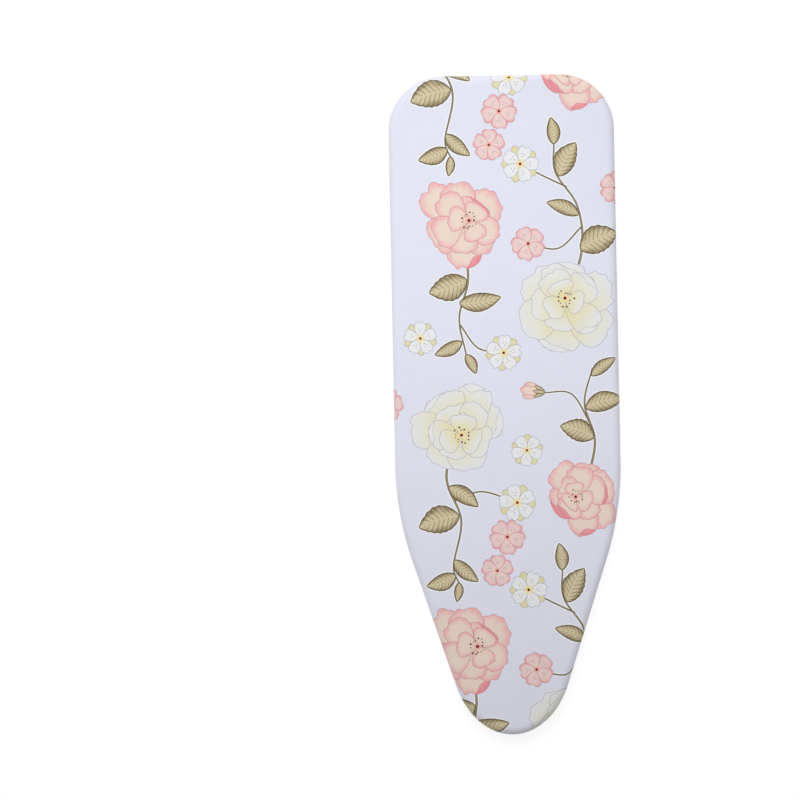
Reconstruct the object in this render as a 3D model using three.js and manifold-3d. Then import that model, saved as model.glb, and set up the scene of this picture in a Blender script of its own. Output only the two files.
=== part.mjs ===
// Ironing board cover: printed cotton over a foam pad and a felt pad, held round the board by a cord in its hem.
// Millimetres. It lies as it is used: X across the board, +Y to the square end, +Z up through the ironing face.
// The origin is the middle of the outline, on the surface that the hem rests on.
import * as THREE from 'three';
import Module from 'manifold-3d';
import { mergeVertices } from 'three/addons/utils/BufferGeometryUtils.js';

// Outline, seen from above
const coverLength = 1240;
const coverWidth = 424;
const cornerRadius = 103;
const shoulderRadius = 583;
const taperAngle = THREE.MathUtils.degToRad(18.2);
const noseWidth = 232;
const noseLength = 160;

// Layers, and the space for the board that they go round
const clothThickness = 0.6;
const foamThickness = 4;
const feltThickness = 5;
const boardThickness = 14;
const faceEdgeRadius = 14;
const hemEdgeRadius = 5;
const turnUnder = 38;
const restGap = 0.3;

// Binding tape folded over the raw edge of the cotton, as the channel for the cord
const tapeThickness = 0.8;
const tapeLap = 6;
const tapeApproach = 2;
const channelFlat = 3;

// Drawcord
const cordDiameter = 3.5;
const cordPlay = 0.3;
const strandGap = 0.3;
const cordBendRadius = 14;
const cordLead = 5;
const knotWidth = 8.6;
const knotHeight = 7;
const knotLength = 7.6;

// Cord lock: a barrel on its side, with a sprung button in it and a cross slot for both strands
const lockDiameter = 12;
const lockFloor = 1.6;
const lockCollar = 1;
const lockEdge = 1.2;
const lockLead = 3;
const lockSlide = 30;
const surfaceGap = 0.3;
const boardGap = 0.5;
const buttonDiameter = 8.4;
const buttonPlay = 0.3;
const buttonTravel = 3;
const buttonHead = 1.5;
const buttonWeb = 1.2;
const buttonEdge = 0.9;
const pocketDepth = 2.5;
const springDiameter = 4.5;
const springWire = 0.5;
const springSpare = 0.5;
const springTurns = 5;

// End bell round the knot
const bellLength = 17;
const bellNeck = 3;
const bellWall = 1.3;
const bellEdge = 0.8;

// How finely round stretches are divided
const noseSteps = 8;
const shoulderSteps = 3;
const cornerSteps = 8;
const faceEdgeSteps = 4;
const hemEdgeSteps = 3;
const padEdgeSteps = 3;
const tapeSteps = 2;
const bendSteps = 6;
const cordSides = 8;
const turnSteps = 10;
const wireSides = 5;
const barrelSides = 24;
const barrelEdgeSteps = 3;
const slotEndSteps = 6;
const knotSides = 14;
const knotBands = 8;
const cutOverrun = 1;

// Sizes that follow from those above
const strandInset = cordDiameter / 2 + cordPlay;
const slotWidth = 2 * cordDiameter + strandGap + 2 * cordPlay;
const slotHeight = 2 * strandInset;
const strandX = (cordDiameter + strandGap) / 2;
const channelRadius = strandInset;
const tapeRadius = channelRadius + tapeThickness;
const hemZ = tapeRadius;
const channelOuter = turnUnder + restGap + channelRadius;
const channelInner = channelOuter + channelFlat;
const cordInset = (channelOuter + channelInner) / 2;
const lockZ = surfaceGap + lockDiameter / 2;
const boardBottomZ = lockZ + lockDiameter / 2 + boardGap;
const boardTopZ = boardBottomZ + boardThickness;
const feltBottomZ = boardTopZ + restGap;
const foamBottomZ = feltBottomZ + feltThickness + restGap;
const foamTopZ = foamBottomZ + foamThickness;
const faceZ = foamTopZ + restGap + clothThickness;
const faceEdgeZ = faceZ - faceEdgeRadius;
const hemEdgeZ = boardBottomZ - restGap - clothThickness + hemEdgeRadius;
const channelEndX = strandX + cordBendRadius + cordLead;
const bendY = coverLength / 2 - cordInset - cordBendRadius;
const lockY = bendY - lockLead - lockDiameter / 2;
const bellY = lockY - lockDiameter / 2 - lockSlide - lockLead;
const knotY = bellY - bellNeck - restGap - knotLength / 2;

const wasm = await Module();
wasm.setup();

// Equal steps from one value to another, both ends included
function steps(from, to, count) {
  return Array.from({ length: count + 1 }, (_, i) => from + (to - from) * i / count);
}

// Points of an arc round (x, y), as pairs
function arc(x, y, radius, fromAngle, toAngle, count) {
  return steps(fromAngle, toAngle, count).map((angle) => [
    x + radius * Math.cos(angle),
    y + radius * Math.sin(angle),
  ]);
}

// A place on the outline, with the direction that points straight out of the cover there
function station(x, y, outX, outY) {
  return { x, y, outX, outY };
}

// Right half of the outline: half of the elliptical nose, the straight taper, the shoulder arc and the corner
function rightHalf() {
  const halfWidth = coverWidth / 2;
  const halfNose = noseWidth / 2;
  const noseY = noseLength - coverLength / 2;
  const noseEnd = Math.atan(halfNose / (noseLength * Math.tan(taperAngle)));
  const half = steps(0, noseEnd, noseSteps).map((turn) => {
    const out = new THREE.Vector2(Math.sin(turn) / halfNose, -Math.cos(turn) / noseLength).normalize();
    return station(halfNose * Math.sin(turn), noseY - noseLength * Math.cos(turn), out.x, out.y);
  });
  const end = half[half.length - 1];
  const shoulderX = halfWidth - shoulderRadius;
  const reach = (shoulderX - end.x) * Math.cos(taperAngle) + shoulderRadius;
  const shoulderY = end.y + reach / Math.sin(taperAngle);
  for (const angle of steps(-taperAngle, 0, shoulderSteps)) {
    const x = shoulderX + shoulderRadius * Math.cos(angle);
    half.push(station(x, shoulderY + shoulderRadius * Math.sin(angle), Math.cos(angle), Math.sin(angle)));
  }
  const cornerX = halfWidth - cornerRadius;
  const cornerY = coverLength / 2 - cornerRadius;
  for (const angle of steps(0, Math.PI / 2, cornerSteps)) {
    const x = cornerX + cornerRadius * Math.cos(angle);
    half.push(station(x, cornerY + cornerRadius * Math.sin(angle), Math.cos(angle), Math.sin(angle)));
  }
  return half;
}

// The whole outline, counter-clockwise from the left corner of the square end, round the nose, to the right corner
function outline() {
  const right = rightHalf();
  const left = right.slice(1).reverse().map((s) => station(-s.x, s.y, -s.outX, s.outY));
  return [...left, ...right];
}

// A point a given distance inside a station, at a given height
function inside(place, inset, z) {
  return new THREE.Vector3(place.x - inset * place.outX, place.y - inset * place.outY, z);
}

// The outline drawn in by an inset, at a height: one level ring
function levelRing([inset, z]) {
  return outline().map((place) => inside(place, inset, z));
}

// A flat ring as points of its own plane, for dividing a cap into triangles
function flatten(ring) {
  const normal = new THREE.Vector3();
  ring.forEach((point, i) => normal.add(point.clone().cross(ring[(i + 1) % ring.length])));
  const across = ring[1].clone().sub(ring[0]).normalize();
  const up = normal.normalize().clone().cross(across);
  return ring.map((point) => new THREE.Vector2(point.dot(across), point.dot(up)));
}

// One closed body through a row of rings with the same number of points, capped at both ends
function loft(rings) {
  const sides = rings[0].length;
  const last = (rings.length - 1) * sides;
  const triangles = [];
  for (let start = 0; start < last; start += sides) {
    for (let side = 0; side < sides; side++) {
      const a = start + side;
      const b = start + (side + 1) % sides;
      triangles.push([a, b, b + sides], [a, b + sides, a + sides]);
    }
  }
  for (const [a, b, c] of THREE.ShapeUtils.triangulateShape(flatten(rings[0]), [])) {
    triangles.push([c, b, a]);
  }
  for (const [a, b, c] of THREE.ShapeUtils.triangulateShape(flatten(rings[rings.length - 1]), [])) {
    triangles.push([last + a, last + b, last + c]);
  }
  const points = rings.flat();
  const volume = triangles.reduce((sum, [a, b, c]) => sum + points[a].dot(points[b].clone().cross(points[c])), 0);
  const geometry = new THREE.BufferGeometry().setFromPoints(points);
  geometry.setIndex(triangles.flatMap(([a, b, c]) => (volume > 0 ? [a, b, c] : [c, b, a])));
  return geometry;
}

// A closed geometry as a solid that can be joined and cut
function solid(geometry) {
  const bare = geometry.clone();
  bare.deleteAttribute('normal');
  bare.deleteAttribute('uv');
  const merged = mergeVertices(bare);
  const corners = merged.index.array;
  const triangles = [];
  for (let i = 0; i < corners.length; i += 3) {
    const [a, b, c] = corners.slice(i, i + 3);
    if (a !== b && b !== c && c !== a) triangles.push(a, b, c);
  }
  return new wasm.Manifold(new wasm.Mesh({
    numProp: 3,
    vertProperties: new Float32Array(merged.attributes.position.array),
    triVerts: new Uint32Array(triangles),
  }));
}

// A cut or joined solid as a geometry again
function geometryOf(body) {
  const mesh = body.getMesh();
  const geometry = new THREE.BufferGeometry();
  geometry.setAttribute('position', new THREE.BufferAttribute(new Float32Array(mesh.vertProperties), 3));
  geometry.setIndex(new THREE.BufferAttribute(new Uint32Array(mesh.triVerts), 1));
  return geometry;
}

// A round body about the Y axis, from pairs of radius and height that start and end on the axis
function turned(profile) {
  return new THREE.LatheGeometry(profile.map(([r, y]) => new THREE.Vector2(r, y)), barrelSides);
}

// A bar along Y with half-round ends across X, centred on the origin: the shape of the slots for the strands
function slotBar(width, height, length) {
  const radius = height / 2;
  const straight = width / 2 - radius;
  const ends = [
    ...arc(straight, 0, radius, -Math.PI / 2, Math.PI / 2, slotEndSteps),
    ...arc(-straight, 0, radius, Math.PI / 2, 3 * Math.PI / 2, slotEndSteps),
  ];
  const shape = new THREE.Shape(ends.map(([x, y]) => new THREE.Vector2(x, y)));
  const bar = new THREE.ExtrudeGeometry(shape, { depth: length, bevelEnabled: false });
  return bar.translate(0, 0, -length / 2).rotateX(Math.PI / 2);
}

// The cotton's line in a cut through its edge, as pairs of inset and height, at a distance outside its middle:
// from the rim of the face, round the edge, down the skirt, under the board and level into the tape
function clothLine(outside) {
  const middle = clothThickness / 2;
  const level = turnUnder - tapeLap - tapeApproach;
  const toLevel = new THREE.Vector2(level - hemEdgeRadius, hemZ - hemEdgeZ);
  const leave = toLevel.angle() - 2 * Math.PI - Math.acos((hemEdgeRadius - middle) / toLevel.length());
  const faceRadius = faceEdgeRadius - middle + outside;
  const hemRadius = hemEdgeRadius - middle + outside;
  return [
    ...arc(faceEdgeRadius, faceEdgeZ, faceRadius, Math.PI / 2, Math.PI, faceEdgeSteps),
    ...arc(hemEdgeRadius, hemEdgeZ, hemRadius, -Math.PI, leave, hemEdgeSteps),
    [level, hemZ - outside],
    [turnUnder, hemZ - outside],
  ];
}

// The printed cotton: the face, the skirt and the turn-under are one sheet
function printedCover() {
  const outer = clothLine(clothThickness / 2);
  const inner = clothLine(-clothThickness / 2);
  return loft([...outer, ...inner.reverse()].map(levelRing));
}

// A pad under the cotton's face, whose rim follows the rounded edge
function pad(bottomZ, topZ) {
  const skirtInset = clothThickness + restGap;
  const radius = faceEdgeRadius - skirtInset;
  const turnAt = (z) => Math.asin(THREE.MathUtils.clamp((z - faceEdgeZ) / radius, 0, 1));
  const rim = steps(turnAt(bottomZ), turnAt(topZ), padEdgeSteps).map((turn) => [
    faceEdgeRadius - radius * Math.cos(turn),
    faceEdgeZ + radius * Math.sin(turn),
  ]);
  const foot = bottomZ < faceEdgeZ ? [[skirtInset, bottomZ]] : [];
  return loft([...foot, ...rim].map(levelRing));
}

// A cut through the binding tape: two lips on the cotton, and the channel, open to the slit between the lips
function tapeSection() {
  const slit = clothThickness / 2 + restGap;
  const lip = slit + tapeThickness;
  const lipEnd = turnUnder - tapeLap;
  const outerTurn = Math.PI - Math.asin(lip / tapeRadius);
  const innerTurn = Math.PI - Math.asin(slit / channelRadius);
  return [
    [lipEnd, hemZ + lip],
    ...arc(channelOuter, hemZ, tapeRadius, outerTurn, Math.PI / 2, tapeSteps),
    ...arc(channelInner, hemZ, tapeRadius, Math.PI / 2, -Math.PI / 2, 2 * tapeSteps),
    ...arc(channelOuter, hemZ, tapeRadius, -Math.PI / 2, -outerTurn, tapeSteps),
    [lipEnd, hemZ - lip],
    [lipEnd, hemZ - slit],
    ...arc(channelOuter, hemZ, channelRadius, -innerTurn, -Math.PI / 2, tapeSteps),
    ...arc(channelInner, hemZ, channelRadius, -Math.PI / 2, Math.PI / 2, 2 * tapeSteps),
    ...arc(channelOuter, hemZ, channelRadius, Math.PI / 2, innerTurn, tapeSteps),
    [lipEnd, hemZ + slit],
  ];
}

// The outline from one end of the channel to the other, which stand apart in the middle of the square end
function channelRun() {
  const endY = coverLength / 2;
  return [station(-channelEndX, endY, 0, 1), ...outline(), station(channelEndX, endY, 0, 1)];
}

function hemCasing() {
  const section = tapeSection();
  return loft(channelRun().map((place) => section.map(([inset, z]) => inside(place, inset, z))));
}

// One bend of the cord between the channel's end and a straight strand, rising to the height of the lock
function cordBend(side, fromAngle, toAngle, fromZ, toZ) {
  const centreX = side * (strandX + cordBendRadius);
  return steps(0, 1, bendSteps).map((share) => {
    const angle = fromAngle + (toAngle - fromAngle) * share;
    const x = centreX + cordBendRadius * Math.cos(angle);
    const place = station(x, bendY + cordBendRadius * Math.sin(angle), Math.cos(angle), Math.sin(angle));
    return { place, inset: 0, z: THREE.MathUtils.lerp(fromZ, toZ, THREE.MathUtils.smoothstep(share, 0, 1)) };
  });
}

// The drawcord: up one strand, round through the whole channel, down the other strand, both into one knot
function drawcord() {
  const places = [
    { place: station(-strandX, knotY, 1, 0), inset: 0, z: lockZ },
    ...cordBend(-1, 0, Math.PI / 2, lockZ, hemZ),
    ...channelRun().map((place) => ({ place, inset: cordInset, z: hemZ })),
    ...cordBend(1, Math.PI / 2, Math.PI, hemZ, lockZ),
    { place: station(strandX, knotY, -1, 0), inset: 0, z: lockZ },
  ];
  const round = arc(0, 0, cordDiameter / 2, 0, 2 * Math.PI, cordSides).slice(1);
  const cord = loft(places.map(({ place, inset, z }) => round.map(([out, up]) => inside(place, inset - out, z + up))));
  const knot = new THREE.SphereGeometry(1, knotSides, knotBands);
  knot.scale(knotWidth / 2, knotLength / 2, knotHeight / 2).translate(0, knotY, lockZ);
  return geometryOf(solid(cord).add(solid(knot)));
}

// Places along the lock's axis, from the middle of the slot
const slotEnd = slotWidth / 2;
const pocketFloor = -slotEnd - buttonWeb;
const buttonStart = pocketFloor - pocketDepth;
const springLength = pocketDepth + buttonTravel + springSpare;
const springEnd = pocketFloor - restGap;
const springStart = springEnd - springLength;
const cavityFloor = springStart - restGap;
const barrelStart = cavityFloor - lockFloor;
const barrelEnd = slotEnd + buttonTravel + lockCollar;
const buttonEnd = barrelEnd + buttonTravel + buttonHead;

function lockBody() {
  const radius = lockDiameter / 2;
  const cavity = buttonDiameter / 2 + buttonPlay;
  const barrel = turned([
    [0, barrelStart],
    ...arc(radius - lockEdge, barrelStart + lockEdge, lockEdge, -Math.PI / 2, 0, barrelEdgeSteps),
    ...arc(radius - lockEdge, barrelEnd - lockEdge, lockEdge, 0, Math.PI / 2, barrelEdgeSteps),
    [cavity, barrelEnd],
    [cavity, cavityFloor],
    [0, cavityFloor],
  ]).rotateZ(-Math.PI / 2);
  const slot = slotBar(slotWidth, slotHeight, lockDiameter + 2 * cutOverrun);
  return geometryOf(solid(barrel).subtract(solid(slot)));
}

function lockButton() {
  const radius = buttonDiameter / 2;
  const pocket = springDiameter / 2 + restGap;
  const plunger = turned([
    [0, pocketFloor],
    [pocket, pocketFloor],
    [pocket, buttonStart],
    [radius, buttonStart],
    ...arc(radius - buttonEdge, buttonEnd - buttonEdge, buttonEdge, 0, Math.PI / 2, barrelEdgeSteps),
    [0, buttonEnd],
  ]).rotateZ(-Math.PI / 2);
  const slot = slotBar(slotWidth + buttonTravel, slotHeight, buttonDiameter + 2 * cutOverrun);
  return geometryOf(solid(plunger).subtract(solid(slot.translate(buttonTravel / 2, 0, 0))));
}

function lockSpring() {
  const radius = (springDiameter - springWire) / 2;
  const wire = arc(0, 0, springWire / 2, 0, 2 * Math.PI, wireSides).slice(1);
  const rise = steps(springStart + springWire / 2, springEnd - springWire / 2, springTurns * turnSteps);
  return loft(rise.map((x, i) => {
    const turn = 2 * Math.PI * i / turnSteps;
    return wire.map(([out, along]) => {
      const r = radius + out;
      return new THREE.Vector3(x + along, r * Math.cos(turn), r * Math.sin(turn));
    });
  }));
}

function endBell() {
  const bore = knotWidth / 2 + restGap;
  const mouth = bore + bellWall;
  const neck = slotWidth / 2 + bellWall;
  const bell = turned([
    [0, -bellNeck],
    [bore, -bellNeck],
    [bore, -bellLength],
    ...arc(mouth - bellWall / 2, -bellLength + bellWall / 2, bellWall / 2, -Math.PI / 2, 0, barrelEdgeSteps),
    ...arc(neck - bellEdge, -bellEdge, bellEdge, 0, Math.PI / 2, barrelEdgeSteps),
    [0, 0],
  ]);
  const slot = slotBar(slotWidth, slotHeight, 2 * (bellNeck + cutOverrun));
  return geometryOf(solid(bell).subtract(solid(slot)));
}

// A named piece with a finish of its own
function piece(name, geometry, color, roughness, metalness = 0) {
  geometry.computeVertexNormals();
  const mesh = new THREE.Mesh(geometry, new THREE.MeshStandardMaterial({ color, roughness, metalness }));
  mesh.name = name;
  return mesh;
}

const cover = new THREE.Group();
cover.add(
  piece('printed_cover', printedCover(), 0xdcdde9, 0.9),
  piece('foam_layer', pad(foamBottomZ, foamTopZ), 0xe8e2cf, 0.95),
  piece('felt_underlay', pad(feltBottomZ, feltBottomZ + feltThickness), 0xd8d5cc, 1),
  piece('hem_casing', hemCasing(), 0xeceae6, 0.85),
  piece('drawcord', drawcord(), 0xf2f0ea, 0.8),
);

const lock = new THREE.Group();
lock.position.set(0, lockY, lockZ);
lock.add(
  piece('cord_lock_body', lockBody(), 0x35363a, 0.45),
  piece('cord_lock_button', lockButton(), 0x4a4b50, 0.4),
  piece('cord_lock_spring', lockSpring(), 0xb4b6ba, 0.3, 1),
);
cover.add(lock);

const bell = piece('cord_end_bell', endBell(), 0x35363a, 0.45);
bell.position.set(0, bellY, lockZ);
cover.add(bell);

export default cover;
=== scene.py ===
import math
import random
from collections import namedtuple
from functools import partialmethod

import bmesh
import bpy
import numpy as np
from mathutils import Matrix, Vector, noise
from mathutils.geometry import delaunay_2d_cdt
from mathutils.kdtree import KDTree


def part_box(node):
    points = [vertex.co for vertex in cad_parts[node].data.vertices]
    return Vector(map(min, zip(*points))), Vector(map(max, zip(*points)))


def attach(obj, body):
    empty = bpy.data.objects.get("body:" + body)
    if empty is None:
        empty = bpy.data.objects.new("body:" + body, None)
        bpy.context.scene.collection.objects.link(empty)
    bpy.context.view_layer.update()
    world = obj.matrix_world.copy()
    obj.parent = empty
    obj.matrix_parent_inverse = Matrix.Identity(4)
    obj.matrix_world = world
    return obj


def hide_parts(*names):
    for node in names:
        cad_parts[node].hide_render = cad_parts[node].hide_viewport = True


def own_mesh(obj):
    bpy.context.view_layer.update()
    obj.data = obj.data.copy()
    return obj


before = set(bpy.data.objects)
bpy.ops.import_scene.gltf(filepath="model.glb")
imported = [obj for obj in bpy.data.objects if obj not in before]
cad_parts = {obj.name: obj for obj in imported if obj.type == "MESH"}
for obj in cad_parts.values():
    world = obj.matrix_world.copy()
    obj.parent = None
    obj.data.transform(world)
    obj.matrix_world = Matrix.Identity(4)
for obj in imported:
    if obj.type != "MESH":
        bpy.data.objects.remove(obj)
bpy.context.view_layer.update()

# Sizes that the CAD model follows, repeated in metres
corner_radius = 0.103
shoulder_radius = 0.583
taper_angle = math.radians(18.2)
nose_width = 0.232
nose_length = 0.160
cloth_thickness = 0.0006
face_edge_radius = 0.014
hem_edge_radius = 0.005
turn_under = 0.038
rest_gap = 0.0003
tape_thickness = 0.0008
tape_lap = 0.006
tape_approach = 0.002
channel_flat = 0.003
cord_diameter = 0.0035
cord_play = 0.0003
strand_gap = 0.0003
cord_bend_radius = 0.014
cord_lead = 0.005
knot_length = 0.0076
board_gap = 0.0005
lock_floor = 0.0016
lock_edge = 0.0012
button_diameter = 0.0084
button_play = 0.0003
button_travel = 0.003
button_web = 0.0012
button_edge = 0.0009
pocket_depth = 0.0025
spring_diameter = 0.0045
spring_wire = 0.0005
spring_turns = 5
bell_neck = 0.003
bell_wall = 0.0013
bell_edge = 0.0008

# Sizes read from the frame, or worked out from those above
cover_low, cover_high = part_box("printed_cover")
cover_width = cover_high.x - cover_low.x
end_y = cover_high.y
face_z = cover_high.z
tape_low, tape_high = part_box("hem_casing")
hem_z = (tape_low.z + tape_high.z) / 2
channel_radius = cord_diameter / 2 + cord_play
channel_outer = turn_under + rest_gap + channel_radius
channel_inner = channel_outer + channel_flat
cord_inset = (channel_outer + channel_inner) / 2
strand_x = (cord_diameter + strand_gap) / 2
channel_end_x = strand_x + cord_bend_radius + cord_lead
bend_y = end_y - cord_inset - cord_bend_radius
lock_low, lock_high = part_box("cord_lock_body")
lock_y = (lock_low.y + lock_high.y) / 2
lock_z = (lock_low.z + lock_high.z) / 2
lock_radius = (lock_high.y - lock_low.y) / 2
bell_low, bell_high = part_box("cord_end_bell")
knot_y = bell_high.y - bell_neck - rest_gap - knot_length / 2
face_edge_z = face_z - face_edge_radius
slot_width = 2 * cord_diameter + strand_gap + 2 * cord_play
slot_height = cord_diameter + 2 * cord_play

# How finely the pieces are divided
arc_points = 200
outline_marks = 4001
line_points = 40
turn_step = 0.0014
side_step = 0.0036
face_step = 0.0095
back_step = 0.03
pad_step = 0.008
print_step = 0.0019
stem_step = 0.006
tape_margin = 0.0015
tiny = 1e-9
merge_distance = 1e-6
most_points = 10 ** 7
barrel_sides = 64
edge_steps = 9


def placed(name, data):
    made = bpy.data.objects.new(name, data)
    bpy.context.scene.collection.objects.link(made)
    return made


# Camera: straight above, turned a degree, with the object right of the middle as in the photograph
photo_size = 800
metre_per_pixel = 0.001878
object_pixel = (506.85, 404.9)
camera_roll = math.radians(-1.15)
camera_distance = 10.0


def make_camera():
    camera = bpy.data.cameras.new("camera")
    camera.lens = camera.sensor_width * camera_distance / (photo_size * metre_per_pixel)
    made = placed("camera", camera)
    across = (photo_size / 2 - object_pixel[0]) * metre_per_pixel
    up = (object_pixel[1] - photo_size / 2) * metre_per_pixel
    cos, sin = math.cos(camera_roll), math.sin(camera_roll)
    made.location = (across * cos - up * sin, across * sin + up * cos, face_z + camera_distance)
    made.rotation_euler = (0, 0, camera_roll)
    bpy.context.scene.camera = made


# Short ways to work with rows of points

def columns(*parts):
    return np.column_stack(parts)


def level(points, z):
    """Flat points at a height, or at one for each."""
    return columns(points, np.broadcast_to(z, len(points)))


def around(turn):
    """Points of a circle of radius 1 at some angles."""
    return columns(np.cos(turn), np.sin(turn))


def unit(vectors):
    return vectors / np.linalg.norm(vectors, axis=-1, keepdims=True)


def summed(steps):
    return np.concatenate([[0], np.cumsum(steps)])


def run_along(points):
    """How far along a line each of its points lies."""
    return summed(np.linalg.norm(np.diff(points, axis=0), axis=1))


def cloudy(points, size, seed):
    """Soft noise between -1 and 1 at flat points, with patches of a size."""
    return np.array([noise.noise(Vector((x / size, y / size, seed))) for x, y in points])


def between(places, marks, table):
    """The rows of a table at places between its marks."""
    return columns(*(np.interp(places, marks, column) for column in table.T))


def tree_of(points):
    tree = KDTree(len(points))
    for index, (x, y) in enumerate(points):
        tree.insert((x, y, 0), index)
    tree.balance()
    return tree


# Outline

def half_outline():
    """Points and outward directions from the tip of the nose to the middle of the square end."""
    half_nose = nose_width / 2
    nose_end = math.atan(half_nose / (nose_length * math.tan(taper_angle)))
    turn = np.linspace(0, nose_end, arc_points)
    turned_by = columns(np.sin(turn), -np.cos(turn))
    nose_axes = np.array([half_nose, nose_length])
    nose = turned_by * nose_axes + (0, nose_length - end_y)
    shoulder_x = cover_width / 2 - shoulder_radius
    reach = (shoulder_x - nose[-1, 0]) * math.cos(taper_angle) + shoulder_radius
    shoulder_y = nose[-1, 1] + reach / math.sin(taper_angle)
    points, outs = [nose], [unit(turned_by / nose_axes)]
    for x, y, radius, start, end in (
        (shoulder_x, shoulder_y, shoulder_radius, -taper_angle, 0),
        (cover_width / 2 - corner_radius, end_y - corner_radius, corner_radius, 0, math.pi / 2),
    ):
        out = around(np.linspace(start, end, arc_points))
        points.append(radius * out + (x, y))
        outs.append(out)
    return np.vstack([*points, [[0, end_y]]]), np.vstack([*outs, [[0, 1]]])


# Counter-clockwise from the middle of the square end
outline_points, outline_outs = (np.vstack([half[::-1] * (-1, 1), half[1:]]) for half in half_outline())
outline_run = run_along(outline_points)
outline_length = outline_run[-1]
turn_reach = 0.035
turn_full = 0.45


def stations(places):
    """Points and outward directions at distances along the outline."""
    places = np.asarray(places) % outline_length
    return between(places, outline_run, outline_points), unit(between(places, outline_run, outline_outs))


def turning(places):
    """How sharply the outline turns near a place: 0 where straight, 1 in the corners and round the nose."""
    before, after = (stations(np.asarray(places) + reach)[1] for reach in (-turn_reach, turn_reach))
    return np.clip(np.arccos(np.clip((before * after).sum(axis=1), -1, 1)) / turn_full, 0, 1)


def uneven_places():
    """Distances along the whole outline, close together where it turns."""
    marks = np.linspace(0, outline_length, outline_marks)
    density = 1 / side_step + (1 / turn_step - 1 / side_step) * turning(marks)
    run = summed((density[1:] + density[:-1]) / 2) * marks[1]
    count = round(run[-1])
    return np.interp(np.arange(count) * run[-1] / count, run, marks)


rim_places = uneven_places()
rim_count = len(rim_places)
rim_steps = np.diff(np.append(rim_places, outline_length))
rim_stations, rim_outs = stations(rim_places)
rim_points = rim_stations - face_edge_radius * rim_outs


# The cotton's line in a cut through its edge, from the rim of the face to the raw edge in the tape

def cloth_line():
    """Distance along the cloth, inset, height and the direction out of the cloth, on its outer side."""
    middle = cloth_thickness / 2
    hem_edge_z = lock_z + lock_radius + board_gap - rest_gap - cloth_thickness + hem_edge_radius
    flat_start = turn_under - tape_lap - tape_approach
    across, down = flat_start - hem_edge_radius, hem_z - hem_edge_z
    leave = math.atan2(down, across) - math.acos((hem_edge_radius - middle) / math.hypot(across, down))
    rows = []
    for inset, z, radius, start, end in (
        (face_edge_radius, face_edge_z, face_edge_radius, math.pi / 2, math.pi),
        (hem_edge_radius, hem_edge_z, hem_edge_radius, math.pi, leave + 2 * math.pi),
    ):
        out = around(np.linspace(start, end, line_points))
        rows.append(columns(radius * out + (inset, z), out))
    rows = np.vstack([*rows, *((place, hem_z - middle, 0, -1) for place in (flat_start, turn_under))])
    return run_along(rows[:, :2]), rows


line_run, line_rows = cloth_line()
line_length = line_run[-1]
skirt_run = face_edge_radius * math.pi / 2
side_run = line_run[line_points]
hem_run = line_run[-3]
lip_run = line_length - tape_lap

# Gathers: folds of uneven width and height along the hem, deepest where the outline turns
fold_widths = (0.012, 0.024)
pucker_widths = (0.005, 0.009)
ridge_heights = (0.45, 1.0)
wave_points = 20000
fold_depth = 0.0034
pucker_depth = 0.0005
straight_share = 0.3
turn_narrowing = 0.4


def fold_wave(widths, seed):
    """A wave between -1 and 1 along the outline, with ridges and hollows of random size."""
    draw = random.Random(seed)
    marks, heights = [0.0], []
    while marks[-1] < outline_length or len(heights) % 2:
        narrow = 1 - turn_narrowing * turning(marks[-1:])[0]
        marks.append(marks[-1] + draw.uniform(*widths) / 2 * narrow)
        heights.append(draw.uniform(*ridge_heights) * (-1) ** len(heights))
    marks = np.array(marks) * outline_length / marks[-1]
    heights = np.array(heights + heights[:1])
    places = np.linspace(0, outline_length, wave_points)
    fold = np.clip(np.searchsorted(marks, places, side="right") - 1, 0, len(heights) - 2)
    share = (places - marks[fold]) / (marks[fold + 1] - marks[fold])
    return places, heights[fold] + (heights[fold + 1] - heights[fold]) * (1 - np.cos(math.pi * share)) / 2


folds = fold_wave(fold_widths, seed=11)
puckers = fold_wave(pucker_widths, seed=12)

# How strong the folds are down the cloth: they start on the skirt and are pressed flat just before the tape
under_length = lip_run - hem_run
under_shares = (0.2, 0.4, 0.6, 0.8)
fold_runs = (
    skirt_run, side_run, hem_run, *(hem_run + share * under_length for share in under_shares),
    lip_run - 1.5 * tape_approach, lip_run - 0.4 * tape_approach, lip_run,
)
fold_strengths = (0, 0.1, 0.32, 0.66, 0.92, 1, 0.78, 0.4, 0.03, 0.03)
pucker_runs = (hem_run, *fold_runs[-3:-1])
pucker_strengths = (0, 1, 0.15)


def gather(places, runs):
    """How far the gathers push the cloth out of its plain line."""
    strength = straight_share + (1 - straight_share) * turning(places)
    fold = np.interp(runs, fold_runs, fold_strengths) * np.interp(places, *folds)
    pucker = np.interp(runs, pucker_runs, pucker_strengths) * np.interp(places, *puckers)
    return strength * (fold_depth * fold + pucker_depth * pucker)


# A slight unevenness of the padded face
dimple_size = 0.16
dimple_height = 0.0004
dimple_fade = 0.03


def unroll(flat):
    """For points of the flat cloth: their place along the outline, and their run past the face's rim."""
    tree = tree_of(rim_points)
    nearest = np.array([tree.find((x, y, 0))[1] for x, y in flat])
    best = np.full(len(flat), np.inf)
    place, run = np.zeros((2, len(flat)))
    for shift in (-1, 0):
        first = (nearest + shift) % rim_count
        along = rim_points[(first + 1) % rim_count] - rim_points[first]
        share = ((flat - rim_points[first]) * along).sum(axis=1) / (along ** 2).sum(axis=1)
        share = np.clip(share, 0, 1)
        foot = rim_points[first] + along * share[:, None]
        away = np.linalg.norm(flat - foot, axis=1)
        side = np.sign(((flat - foot) * rim_outs[first]).sum(axis=1))
        closer = away < best
        best = np.where(closer, away, best)
        run = np.where(closer, away * side, run)
        place = np.where(closer, (rim_places[first] + share * rim_steps[first]) % outline_length, place)
    return place, run


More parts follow.
